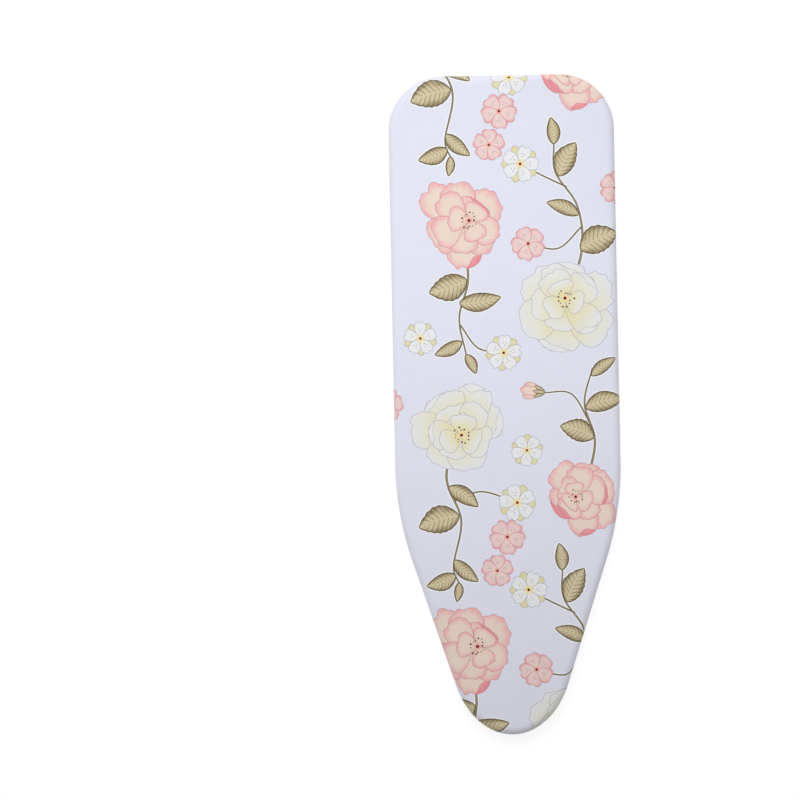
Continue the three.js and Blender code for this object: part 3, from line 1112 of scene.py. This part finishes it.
def plastic_finish(name, dark, light, roughness):
    """Moulded plastic with a fine spark-eroded grain and a little wear."""
    paint = Paint(name)
    grain = paint.noise(paint.place(), scale=3400.0, detail=3.0)
    wear = paint.noise(paint.place(), scale=240.0, detail=5.0)
    color = paint.mix(wear.smooth(0.45, 0.8), dark, light)
    uneven = wear * worn_roughness + (roughness - worn_roughness / 2)
    return paint.finish(color, grain, uneven, strength=0.25, distance=0.00005)


# Meshes

def mesh_of(points, faces):
    mesh = bpy.data.meshes.new("shape")
    faces = [tuple(int(i) for i in face) for face in faces]
    mesh.from_pydata([tuple(point) for point in points], [], faces)
    mesh.validate()
    return mesh


def piece(name, mesh, materials, body, node=None):
    """A named mesh that rides on a body, takes its finish from a slot and may stand for a node."""
    mesh.name = name
    mesh.materials.clear()
    for material in materials:
        mesh.materials.append(material)
    mesh.shade_smooth()
    made = placed(name, mesh)
    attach(made, body)
    if node:
        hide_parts(node)
    return made


def set_attribute(made, name, values, domain="POINT"):
    """Gives a number or vector to each point or corner of a piece, and 0 where the values end."""
    values = np.asarray(values)
    kind, field = ("FLOAT_VECTOR", "vector") if values.ndim > 1 else ("FLOAT", "value")
    data = made.data.attributes.new(name, kind, domain).data
    filled = np.zeros((len(data), *values.shape[1:]), np.float32)
    filled[:len(values)] = values
    data.foreach_set(field, filled.ravel())


def strip_faces(rings, sides, start=0, capped=False, way=1):
    """Quads between closed rings of points that follow each other in one list, and caps at both ends."""
    made = []
    for ring in range(start, start + (rings - 1) * sides, sides):
        made += [(ring + i, ring + j, ring + sides + j, ring + sides + i) for i, j in ring_edges(0, sides)]
    if capped:
        first, last = (tuple(range(ring, ring + sides)) for ring in (start, start + (rings - 1) * sides))
        made += [first[::-1], last]
    return [face[::way] for face in made]


lid_clearance = 0.6


def lid(ring, step, start, first, way):
    """A flat ring's inside: its points, listed from start on, which of them are the ring's own, and its
    faces, in which the ring's own points are those from first on."""
    within = hex_points(ring.min(axis=0), ring.max(axis=0), step)
    within = clear_of(within[inside_polygon(within, ring)], ring, step * lid_clearance)
    flat, triangles, on_ring = triangulate(ring, within, [])
    renumber = start + np.arange(len(flat))
    renumber[on_ring] = first + np.arange(len(ring))
    return flat, on_ring, renumber[triangles[:, ::way]]


# Rows of the cotton's outer and inner side: over the edge, down it, over the hem's edge, in a fold's part
outer_rows, inner_rows = (6, 2, 4, 2), (5, 2, 3, 1)
print_clearance = 0.42


def printed_side():
    """The cotton's outer side, cut along the print: points, triangles, its edge and the shape over each."""
    edge = rim_points + line_length * rim_outs
    low, high = edge.min(axis=0), edge.max(axis=0)
    shapes = whole_print(low, high)
    outlines = [shape.points for shape in shapes]
    drawn, drawn_edges = print_edges(outlines)
    keep = inside_polygon(drawn, edge - tape_margin * rim_outs)
    drawn_edges = (np.cumsum(keep) - 1)[drawn_edges[keep[drawn_edges].all(axis=1)]]
    drawn = drawn[keep]
    grid = np.vstack([rim_points + run * rim_outs for run in cloth_rows(*outer_rows)[:-1]])
    face = hex_points(low, high, face_step)
    face = clear_of(face[inside_polygon(face, rim_points)], rim_points, print_step)
    loose = clear_of(np.vstack([grid, face]), drawn, print_step * print_clearance)
    edges = ring_edges(0, rim_count) + [(rim_count + a, rim_count + b) for a, b in drawn_edges]
    points, triangles, edge_points = triangulate(edge, np.vstack([rim_points, drawn, loose]), edges)
    return points, triangles, edge_points, covering(points[triangles].mean(axis=1), outlines), shapes


def corner_frames(flat, triangles, tops, shapes):
    """For each corner of each triangle: its place in its shape's own frame, and the shape's seed."""
    frames = np.zeros((len(triangles), 3, 4))
    for index in np.unique(tops[tops >= 0]):
        shape = shapes[index]
        rows = np.nonzero(tops == index)[0]
        local = turned(flat[triangles[rows]] - shape.base, -shape.angle)
        frames[rows, :, :2] = local * 2 / (shape.length, shape.width) - (1, 0)
        frames[rows, :, 2:] = shape.bend, shape.seed
    return frames.reshape(-1, 4)


def printed_cover():
    """The printed cotton: one sheet with its printed side out and its plain side in."""
    flat, triangles, edge_points, tops, shapes = printed_side()
    frames = corner_frames(flat, triangles, tops, shapes)
    rows = np.concatenate([[0], cloth_rows(*inner_rows)])
    start = len(flat)
    back_start = start + len(rows) * rim_count
    back, _, back_faces = lid(rim_points, back_step, back_start, start, -1)
    points = np.vstack([
        wrap(*unroll(flat), 0, flat),
        wrap(np.tile(rim_places, len(rows)), np.repeat(rows, rim_count), cloth_thickness),
        level(back, face_z - cloth_thickness),
    ])
    faces = [*triangles, *strip_faces(len(rows), rim_count, start), *back_faces]
    last = back_start - rim_count + np.arange(rim_count)
    faces += [(edge_points[i], last[i], last[j], edge_points[j]) for i, j in ring_edges(0, rim_count)]
    materials = [woven("ink_" + name, *facts) for name, facts in inks.items()]
    materials.append(woven("cotton_back", ink(232, 231, 230)))
    mesh = mesh_of(points, faces)
    made = piece("cotton_cover", mesh, materials, "cover", "printed_cover")
    kinds = np.full(len(mesh.polygons), len(inks))
    kinds[:len(tops)] = [ink_names.index(shapes[top].ink if top >= 0 else "ground") for top in tops]
    mesh.polygons.foreach_set("material_index", kinds.astype(np.int32))
    cloth = [flat, *(rim_points + row * rim_outs for row in rows), back]
    set_attribute(made, "cloth", level(np.vstack(cloth), 0))
    set_attribute(made, "motif", frames[:, :3], "CORNER")
    set_attribute(made, "seed", frames[:, 3], "CORNER")


# Pads

pad_round = 0.0011
pad_wander = 0.0006
pad_uneven = 0.0003
pad_patch = 0.055
wander_seed = 3.5
corner_points = 5


def rounded_corner(first, corner, last):
    """A soft corner from one point to another, drawn towards the sharp one between them."""
    share = np.linspace(0, 1, corner_points)[:, None]
    return (1 - share) ** 2 * first + 2 * share * (1 - share) * corner + share ** 2 * last


def pad_rim(bottom_z, top_z):
    """The pad's edge in a cut, from its underside to its top, as insets and heights."""
    radius = face_edge_radius - cloth_thickness - rest_gap
    heights = np.linspace(bottom_z + pad_round, top_z - pad_round, corner_points)
    heights = np.array([bottom_z, *heights, top_z])
    turn = np.arcsin(np.minimum(1, (heights - face_edge_z) / radius))
    low, *side, high = columns(face_edge_radius - radius * np.cos(turn), heights)
    below = rounded_corner(low + (pad_round, 0), low, side[0])
    return np.vstack([below, *side[1:-1], rounded_corner(side[-1], high, high + (pad_round, 0))])


def patchy(points, seed):
    """Between 0 and 1 at each point: how far the surface sinks there."""
    return 0.5 + 0.5 * cloudy(points, pad_patch, seed)


def pad(name, node, material, seed):
    """A cut pad under the face: its edge wanders a little, and neither side is quite even."""
    low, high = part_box(node)
    rim = pad_rim(low.z, high.z)
    wander = pad_wander * patchy(rim_points, seed + wander_seed)
    points = [level(rim_stations - (inset + wander)[:, None] * rim_outs, z) for inset, z in rim]
    faces = strip_faces(len(rim), rim_count)
    start = len(rim) * rim_count
    for ring, first, way in ((points[0], 0, -1), (points[-1], start - rim_count, 1)):
        flat, on_ring, lid_faces = lid(ring[:, :2], pad_step, start, first, way)
        sink = pad_uneven * patchy(flat, seed + way)
        sink[on_ring] = 0
        points.append(level(flat, ring[0, 2] - way * sink))
        faces += [*lid_faces]
        start += len(flat)
    made = piece(name, mesh_of(np.vstack(points), faces), [material], "cover", node)


# Binding tape, and the stitches that hold it

tape_step = 0.0018
tape_thinning = 0.4
fold_pull, pucker_pull = 0.3, 0.2
tape_arc_points = 6
lip_wander = 0.0005
lip_round = 0.3
channel_length = outline_length - 2 * channel_end_x


def along_channel(count):
    return np.linspace(channel_end_x, outline_length - channel_end_x, count)


def tape_at(places):
    """The tape's thickness: it is drawn thin where the gathers stretch it."""
    fold, pucker = (np.interp(places % outline_length, *wave) for wave in (folds, puckers))
    return tape_thickness * (1 - tape_thinning * (0.5 - fold_pull * fold - pucker_pull * pucker))


def tape_sections(thickness, wander):
    """Cuts through the tape's two lips and its channel, one for each thickness: insets and heights."""
    thickness = thickness[:, None]
    slit = cloth_thickness / 2 + rest_gap + 0 * thickness
    lip = slit + thickness
    inside, outside = channel_radius, channel_radius + thickness
    inner_turn = math.pi - np.arcsin(slit / inside)
    outer_turn = math.pi - np.arcsin(lip / outside)
    end = turn_under - tape_lap + wander[:, None]
    soft = lip_round * thickness
    quarter, count = math.pi / 2, tape_arc_points

    def arcs(x, radius, start, end, count):
        turn = start + (end - start) * np.linspace(0, 1, count) + 0 * thickness
        return x + radius * np.cos(turn), radius * np.sin(turn)

    parts = [
        (end, slit + soft),
        (end, lip - soft),
        (end + soft, lip),
        arcs(channel_outer, outside, outer_turn, quarter, count),
        arcs(channel_inner, outside, quarter, -quarter, 2 * count),
        arcs(channel_outer, outside, -quarter, -outer_turn, count),
        (end + soft, -lip),
        (end, soft - lip),
        (end, -slit - soft),
        (end + soft, -slit),
        arcs(channel_outer, inside, -inner_turn, -quarter, count - 2),
        arcs(channel_inner, inside, -quarter, quarter, 2 * count - 4),
        arcs(channel_outer, inside, quarter, inner_turn, count - 2),
        (end + soft, slit),
    ]
    insets, heights = (np.hstack(part) for part in zip(*parts))
    return insets, hem_z + heights


def hem_tape():
    """The tape folded round the raw edge of the cotton, from one end of the channel to the other."""
    places = along_channel(round(channel_length / tape_step) + 1)
    insets, heights = tape_sections(tape_at(places), lip_wander * np.interp(places, *puckers))
    count, sides = insets.shape
    points, outs = stations(places)
    rings = points[:, None] - insets[..., None] * outs[:, None]
    mesh = mesh_of(np.dstack([rings, heights]).reshape(-1, 3), strip_faces(count, sides, 0, True, -1))
    made = piece("hem_tape", mesh, [tape_finish()], "cover", "hem_casing")
    across = [run_along(columns(*section)) for section in zip(insets, heights)]
    set_attribute(made, "cloth", level(columns(np.repeat(places, sides), np.ravel(across)), 0))


stitch_pitch = 0.0031
stitch_length = 0.0023
stitch_radius = 0.00021
stitch_lift = 0.00016
stitch_lengths = (0.92, 1.06)
stitch_slant = 0.0001
stitch_thinning = 0.35
stitch_dip = 1.9
stitch_rings = np.array([-1.0, -0.45, 0.45, 1.0])
stitch_sides = 5
stitch_seed = 5


def hem_stitches():
    """The seam along both lips of the tape: each stitch arches over it and dips in at its ends."""
    draw = random.Random(stitch_seed)
    inset = turn_under - tape_lap / 2
    circle = around(2 * math.pi * np.arange(stitch_sides) / stitch_sides)
    size = stitch_radius * (1 - stitch_thinning * stitch_rings ** 2)
    arch = cloth_thickness / 2 + rest_gap + stitch_lift * (1 - stitch_dip * stitch_rings ** 2)
    points, faces = [], []
    for side in (1, -1):
        for number in range(1, round(channel_length / stitch_pitch)):
            places = channel_end_x + stitch_pitch * number
            places = places + stitch_length / 2 * draw.uniform(*stitch_lengths) * stitch_rings
            away = inset + draw.uniform(-stitch_slant, stitch_slant) * stitch_rings
            middles = columns(away, arch + tape_at(places))
            centres, outs = stations(places)
            for ring in range(len(stitch_rings)):
                away, lift = (middles[ring] + size[ring] * circle * (-1, 1)).T
                points.append(level(centres[ring] - away[:, None] * outs[ring], hem_z + side * lift))
            start = (len(points) - len(stitch_rings)) * stitch_sides
            faces += strip_faces(len(stitch_rings), stitch_sides, start, True, -side)
    facts = {"roughness": 0.55, "strength": 0.4, "distance": 0.00005}
    thread = grained("sewing_thread", 5200.0, 2.0, (ink(226, 225, 222), ink(244, 243, 240)), **facts)
    piece("hem_stitches", mesh_of(np.vstack(points), faces), [thread], "cover")


# Closed shells. Ridge is how high each point lies on a braid, from 0 to 1, or 1 where there is none
Shell = namedtuple("Shell", "points faces ridge")

braid_lobes = 8
braid_depth = 0.00026
braid_lean = 0.8


def tube(path, radius, sides, upward, braid=0.0):
    """A closed tube along a path that never runs in the direction upward. Radius and braid may vary."""
    along = unit(np.gradient(path, axis=0))
    across = unit(np.cross(along, upward))
    up = np.cross(across, along)
    turn = 2 * math.pi * np.arange(sides) / sides
    radius, braid = (np.broadcast_to(size, len(path))[:, None] for size in (radius, braid))
    lean = braid_lean * run_along(path)[:, None] / radius.max()
    ridge = np.maximum(np.cos(braid_lobes * (turn + lean)), np.cos(braid_lobes * (turn - lean)))
    ridge = np.where(braid > 0, (1 + ridge) / 2, 1)
    cos, sin = around(turn).T[..., None]
    size = (radius - braid * (1 - ridge))[..., None]
    rings = path[:, None] + size * (cos * across[:, None] + sin * up[:, None])
    return Shell(rings.reshape(-1, 3), strip_faces(len(path), sides, 0, True, -1), ridge.ravel())


def lathe(profile, sides, axis="X"):
    """A closed round body about an axis, from pairs of radius and distance along the axis."""
    circle = around(2 * math.pi * np.arange(sides) / sides)
    points, rings = [], []
    for radius, place in profile:
        spread = radius * circle[:sides if radius > tiny else 1]
        rings.append([len(points) + side % len(spread) for side in range(sides)])
        points += [(place, a, b) if axis == "X" else (b, place, a) for a, b in spread]
    faces = [
        tuple(dict.fromkeys((first[i], first[j], second[j], second[i])))
        for first, second in zip(rings, rings[1:])
        for i, j in ring_edges(0, sides)
    ]
    return Shell(np.array(points), faces, np.ones(len(points)))


# Drawcord and its knot

cord_sides = 32
cord_step = 0.0004
channel_step = 0.003
knot_width = 0.0086
knot_height = 0.007
knot_turns = 3
knot_cord = 0.0012
knot_points, knot_sides = 110, 18
knot_wave = 0.0005
knot_braid = 0.7
knot_tuck = ((0.22, 2), (0.55, 14))
core_size = (0.0031, 0.0033)
core_points, core_sides = 12, 24
# For each tail: its side, how far it rises, and its share of the full length
knot_tails = ((-1, 0.20, 1.0), (1, -0.32, 0.8))
tail_radius = 0.0016
tail_length = 0.0034
tail_start = 0.0022
tail_x, tail_parting = 0.0015, 0.0003
tail_run = np.concatenate([np.linspace(0, 0.9, 22), np.linspace(0.9, 1, 8)[1:]])
tail_blunt, tail_blunt_start = 0.3, 0.92


def cord_bend(side, start, end, low, high):
    """One bend between the channel's end and a strand."""
    share = np.linspace(0, 1, round(cord_bend_radius * math.pi / 2 / cord_step) + 1)
    centre = (side * (strand_x + cord_bend_radius), bend_y)
    bend = cord_bend_radius * around(start + (end - start) * share) + centre
    return level(bend, low + (high - low) * share * share * (3 - 2 * share))


def cord_path():
    """The cord's middle: up one strand, round through the whole channel, and down the other strand."""
    rise = np.linspace(knot_y, bend_y, round((bend_y - knot_y) / cord_step))[:-1]
    strand = level(columns(np.full(len(rise), strand_x), rise), lock_z)
    points, outs = stations(along_channel(round(channel_length / channel_step)))
    lead = strand_x + cord_bend_radius + np.linspace(0, cord_lead, round(cord_lead / cord_step))[1:-1]
    lead = level(columns(lead, np.full(len(lead), end_y - cord_inset)), hem_z)
    mirror = (-1, 1, 1)
    first = [strand * mirror, cord_bend(-1, 0, math.pi / 2, lock_z, hem_z), lead * mirror]
    last = [lead[::-1], cord_bend(1, math.pi / 2, math.pi, hem_z, lock_z), strand[::-1]]
    path = np.vstack([*first, level(points - cord_inset * outs, hem_z), *last])
    shown = np.ones(len(path))
    shown[sum(map(len, first)) + 2:-sum(map(len, last)) - 2] = 0
    return path, shown


def knot_shells():
    """The knot: a core, the cord wound over it, and the two cut ends behind it."""
    share = np.linspace(-1, 1, knot_points)
    turn = math.pi * knot_turns * (share + 1)
    tuck = 1 - sum(depth * np.abs(share) ** power for depth, power in knot_tuck)
    width, length, height = (size / 2 - knot_cord for size in (knot_width, knot_length, knot_height))
    along = length * share + knot_wave * np.sin(turn)
    wound = columns(width * tuck * np.cos(turn), along, height * tuck * np.sin(turn))
    core = around(np.linspace(-math.pi / 2, math.pi / 2, core_points)) * core_size
    shells = [tube(wound, knot_cord, knot_sides, (0, 1, 0), braid_depth * knot_braid)]
    shells.append(lathe(core, core_sides, "Y"))
    for side, rise, size in knot_tails:
        length = (knot_length / 2 - tail_start + tail_length) * size
        x = side * (tail_x + tail_parting * tail_run)
        path = columns(x, -tail_start - length * tail_run, rise * length * tail_run ** 2)
        cut = np.clip((tail_run - tail_blunt_start) / (1 - tail_blunt_start), 0, 1) ** 3
        shells.append(tube(path, tail_radius * (1 - tail_blunt * cut), cord_sides, (0, 0, 1), braid_depth))
    return [shell._replace(points=shell.points + (0, knot_y, lock_z)) for shell in shells]


def drawcord():
    path, shown = cord_path()
    shells = [tube(path, cord_diameter / 2, cord_sides, (0, 0, 1), braid_depth * shown), *knot_shells()]
    starts = summed([len(shell.points) for shell in shells])
    faces = [tuple(start + i for i in face) for start, shell in zip(starts, shells) for face in shell.faces]
    facts = {"roughness": 0.75, "strength": 0.4, "distance": 0.0001, "Sheen Weight": 0.2}
    tones = (ink(214, 211, 202), ink(242, 240, 234))
    # The third ink is the painted shade in the braid's hollows
    yarn = grained("elastic_cord", 2600.0, 3.0, tones, ink(158, 154, 144), **facts)
    mesh = mesh_of(np.vstack([shell.points for shell in shells]), faces)
    made = piece("cord", mesh, [yarn], "cover", "drawcord")
    set_attribute(made, "ridge", np.hstack([shell.ridge for shell in shells]))


# Lock and end bell

groove_depth = 0.00035
groove_width = 0.001
groove_points = 9
lock_grooves = (-0.0102, -0.0084, -0.0066, 0.0057)
bell_grooves = (0.0026, 0.0043)
bell_rim_points, bell_edge_points = 11, 7
lock_flare, button_flare, bell_flare = 0.0007, 0.0003, 0.0006
flare_points = 5
slot_points = 13
lock_lip = ((0.0003, 0), (0.00009, -0.00009), (0, -0.0003))
# The mark of the mould's gate in the lock's floor: radius and depth
gate_mark = ((0, 0.00025), (0.0011, 0.00025), (0.0014, 0.0001), (0.0017, 0))
dish_depth = 0.0004
button_chamfer, pocket_chamfer = 0.0003, 0.0002
sharp_angle = math.radians(32)

slot_end = slot_width / 2
pocket_floor = -slot_end - button_web
button_start = pocket_floor - pocket_depth
spring_end = pocket_floor - rest_gap
spring_start = lock_low.x + lock_floor + rest_gap
cavity_floor = spring_start - rest_gap
button_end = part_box("cord_lock_button")[1].x
lock_place = (0, lock_y, lock_z)


def outward_mesh(shell, place):
    """A shell at a place as a mesh whose faces all look out."""
    mesh = mesh_of(shell.points + place, shell.faces)
    edit = bmesh.new()
    edit.from_mesh(mesh)
    bmesh.ops.recalc_face_normals(edit, faces=edit.faces)
    edit.to_mesh(mesh)
    edit.free()
    return mesh


def cut_out(body, cutter, place):
    """A shell with another one cut out of it, at a place."""
    body, cutter = (placed("shape", outward_mesh(shell, place)) for shell in (body, cutter))
    cut = body.modifiers.new("cut", "BOOLEAN")
    cut.operation = "DIFFERENCE"
    cut.solver = "EXACT"
    cut.object = cutter
    mesh = bpy.data.meshes.new_from_object(body.evaluated_get(bpy.context.evaluated_depsgraph_get()))
    for shape in (body, cutter):
        bpy.data.objects.remove(shape)
    return mesh


def hard_piece(name, mesh, material, body, node):
    """A moulded or metal piece, smooth but for its edges."""
    made = piece(name, mesh, [material], body, node)
    mesh.set_sharp_from_angle(angle=sharp_angle)
    return made


def arc(x, y, radius, start, end, count=edge_steps):
    turn = np.radians(np.linspace(start, end, count))
    return [(x + radius * math.cos(t), y + radius * math.sin(t)) for t in turn]


def moulded(name, node, body, slot, plastic, profile, bar, place, axis="X"):
    """A plastic piece turned from a profile, with the slot for the strands cut out of it."""
    mesh = cut_out(lathe(profile, barrel_sides, axis), bar, place)
    hard_piece(name, mesh, plastic_finish(name + "_plastic", *plastic), body, node)


def slot_bar(width, low, high, flare, middle=0):
    """The slot for both strands as a bar along Y, from low to high, that widens at its ends by a flare."""
    lean = np.linspace(0, math.pi / 2, flare_points)
    along, grow = flare * np.sin(lean), flare * (1 - np.cos(lean))
    places = np.array([low - flare, *(low + flare - along[::-1]), *(high - flare + along), high + flare])
    radius = (slot_height / 2 + np.array([flare, *grow[::-1], *grow, flare]))[:, None]
    half_turn = np.linspace(-math.pi / 2, math.pi / 2, slot_points)
    turn = np.array([*half_turn, *(half_turn + math.pi)])
    x = np.repeat([1, -1], slot_points) * (width - slot_height) / 2 + radius * np.cos(turn)
    points = np.dstack([middle + x, places[:, None] + 0 * x, radius * np.sin(turn)]).reshape(-1, 3)
    return Shell(points, strip_faces(len(places), len(turn), 0, True), np.ones(len(points)))


def groove(radius, place):
    """A shallow rounded groove in a profile, as pairs of radius and place."""
    share = np.linspace(-1, 1, groove_points)
    depth = groove_depth * (0.5 + 0.5 * np.cos(math.pi * share))
    return [*columns(radius - depth, place + share * groove_width / 2)]


def lock_barrel():
    start, end = lock_low.x, lock_high.x
    cavity = button_diameter / 2 + button_play
    edge = lock_radius - lock_edge
    profile = [
        *((radius, start + depth) for radius, depth in gate_mark),
        *arc(edge, start + lock_edge, lock_edge, -90, 0),
        *(pair for place in lock_grooves for pair in groove(lock_radius, place)),
        *arc(edge, end - lock_edge, lock_edge, 0, 90),
        *((cavity + out, end + back) for out, back in lock_lip),
        (cavity, cavity_floor),
        (0, cavity_floor),
    ]
    bar = slot_bar(slot_width, -lock_radius, lock_radius, lock_flare)
    facts = ("cord_lock_body", "cord_lock", "lock_plastic", dark_plastic)
    moulded("lock_barrel", *facts, profile, bar, lock_place)


def lock_button():
    radius = button_diameter / 2
    pocket = spring_diameter / 2 + rest_gap
    dish_size = (radius - button_edge - button_chamfer, -dish_depth)
    profile = [
        (0, pocket_floor),
        (pocket, pocket_floor),
        (pocket, button_start + pocket_chamfer),
        (pocket + pocket_chamfer, button_start),
        (radius - button_chamfer, button_start),
        (radius, button_start + button_chamfer),
        *arc(radius - button_edge, button_end - button_edge, button_edge, 0, 90),
        *(around(np.linspace(0, math.pi / 2, edge_steps)) * dish_size + (0, button_end)),
    ]
    bar = slot_bar(slot_width + button_travel, -radius, radius, button_flare, button_travel / 2)
    facts = ("cord_lock_button", "button", "button_plastic", grey_plastic)
    moulded("lock_button", *facts, profile, bar, lock_place)


turn_points = 36
wire_sides = 12
closed_turns, opening_turns = 0.4, 0.6
closed_pitch = 0.12


def lock_spring():
    """A coil spring with closed end turns."""
    share = np.linspace(0, 1, spring_turns * turn_points + 1)
    turns = np.minimum(share, 1 - share) * spring_turns
    pitch = np.clip((turns - closed_turns) / opening_turns, 0, 1)
    rise = summed((closed_pitch + pitch[1:] + pitch[:-1]) / 2)
    ends = (spring_start + spring_wire / 2, spring_end - spring_wire / 2)
    coil = (spring_diameter - spring_wire) / 2 * around(2 * math.pi * spring_turns * share)
    path = columns(np.interp(rise, rise[[0, -1]], ends), coil)
    mesh = outward_mesh(tube(path, spring_wire / 2, wire_sides, (1, 0, 0)), lock_place)
    facts = {"roughness": 0.32, "strength": 0.15, "distance": 0.00003, "Metallic": 1.0}
    steel = grained("spring_steel", 1800.0, 3.0, (ink(168, 170, 174), ink(206, 208, 212)), **facts)
    made = hard_piece("lock_spring", mesh, steel, "cord_lock", "cord_lock_spring")
    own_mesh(made)


def end_bell():
    """The bell over the knot, seen open from the side away from the lock."""
    neck_y, mouth_y = bell_high.y, bell_low.y
    floor_y = neck_y - bell_neck
    mouth = (bell_high.x - bell_low.x) / 2
    neck = slot_width / 2 + bell_wall
    rim = arc(mouth - bell_wall / 2, mouth_y + bell_wall / 2, bell_wall / 2, -180, 0, bell_rim_points)
    shoulder = arc(neck - bell_edge, neck_y - bell_edge, bell_edge, 0, 90, bell_edge_points)
    rings = [pair for place in bell_grooves for pair in groove(0, mouth_y + place)]
    cone = (rim[-1][1], shoulder[0][1])
    rings = [(np.interp(y, cone, (mouth, neck)) + depth, y) for depth, y in rings]
    profile = [(0, floor_y), (mouth - bell_wall, floor_y), *rim, *rings, *shoulder, (0, neck_y)]
    bar = slot_bar(slot_width, floor_y, neck_y, bell_flare)
    facts = ("cord_end_bell", "cover", "lock_plastic", dark_plastic)
    moulded("end_bell", *facts, profile, bar, (0, 0, lock_z), "Y")


make_camera()
printed_cover()
pad("foam", "foam_layer", foam_finish(), 1.0)
pad("felt", "felt_underlay", felt_finish(), 9.0)
hem_tape()
hem_stitches()
drawcord()
lock_barrel()
lock_button()
lock_spring()
end_bell()


# Floor and light

floor_half = 6.0
floor_drop = 0.0002
floor_albedo = 0.3
floor_glow = 0.78
sky_level = 0.584
ground_level = 1.0
side_lean = (-0.1, 0.4)
horizon = 0.3
key_energy = 11.0
key_size = 1.0
key_place = (-0.2, 0.52, 1.38)
key_aim = (-0.1, 0.35, 0)


def make_floor():
    """A pale floor that looks white and keeps a soft shadow, and lets the view through from below."""
    corners = [(x * floor_half, y * floor_half, 0) for x, y in ((-1, -1), (1, -1), (1, 1), (-1, 1))]
    floor = placed("floor", mesh_of(corners, [range(4)]))
    floor.location.z = -floor_drop
    paint = Paint("floor")
    back = paint.value("ShaderNodeNewGeometry", output="Backfacing")
    matt = paint.value("ShaderNodeBsdfDiffuse", {"Color": (*[floor_albedo] * 3, 1)})
    glow = paint.value("ShaderNodeEmission", {"Strength": floor_glow})
    white = paint.value("ShaderNodeAddShader", {0: matt, 1: glow})
    clear = paint.value("ShaderNodeBsdfTransparent")
    surface = paint.value("ShaderNodeMixShader", {0: paint.seen() * (back * -1 + 1), 1: clear, 2: white})
    paint.node("ShaderNodeOutputMaterial", {"Surface": surface})
    floor.data.materials.append(paint.block)


def make_light():
    """A soft light, a little stronger from the white ground and the upper left, and one lamp."""
    paint = Paint("studio", world=True)
    bpy.context.scene.world = paint.block
    x, y, z = paint.value("ShaderNodeTexCoord", output="Generated").split()
    height = {"Value": z, "From Min": -horizon, "From Max": horizon}
    height.update({"To Min": ground_level, "To Max": sky_level})
    glow = paint.value("ShaderNodeMapRange", height) + x * side_lean[0] + y * side_lean[1]
    strength = paint.seen() * (glow * -1 + 1) + glow
    background = paint.value("ShaderNodeBackground", {"Color": (1, 1, 1, 1), "Strength": strength})
    paint.node("ShaderNodeOutputWorld", {"Surface": background})
    key = bpy.data.lights.new("key", "AREA")
    key.energy = key_energy
    key.size = key_size
    lamp = placed("key", key)
    lamp.location = key_place
    lamp.rotation_euler = (Vector(key_aim) - lamp.location).to_track_quat("-Z", "Y").to_euler()


make_floor()
make_light()
bpy.context.scene.view_settings.view_transform = "Standard"
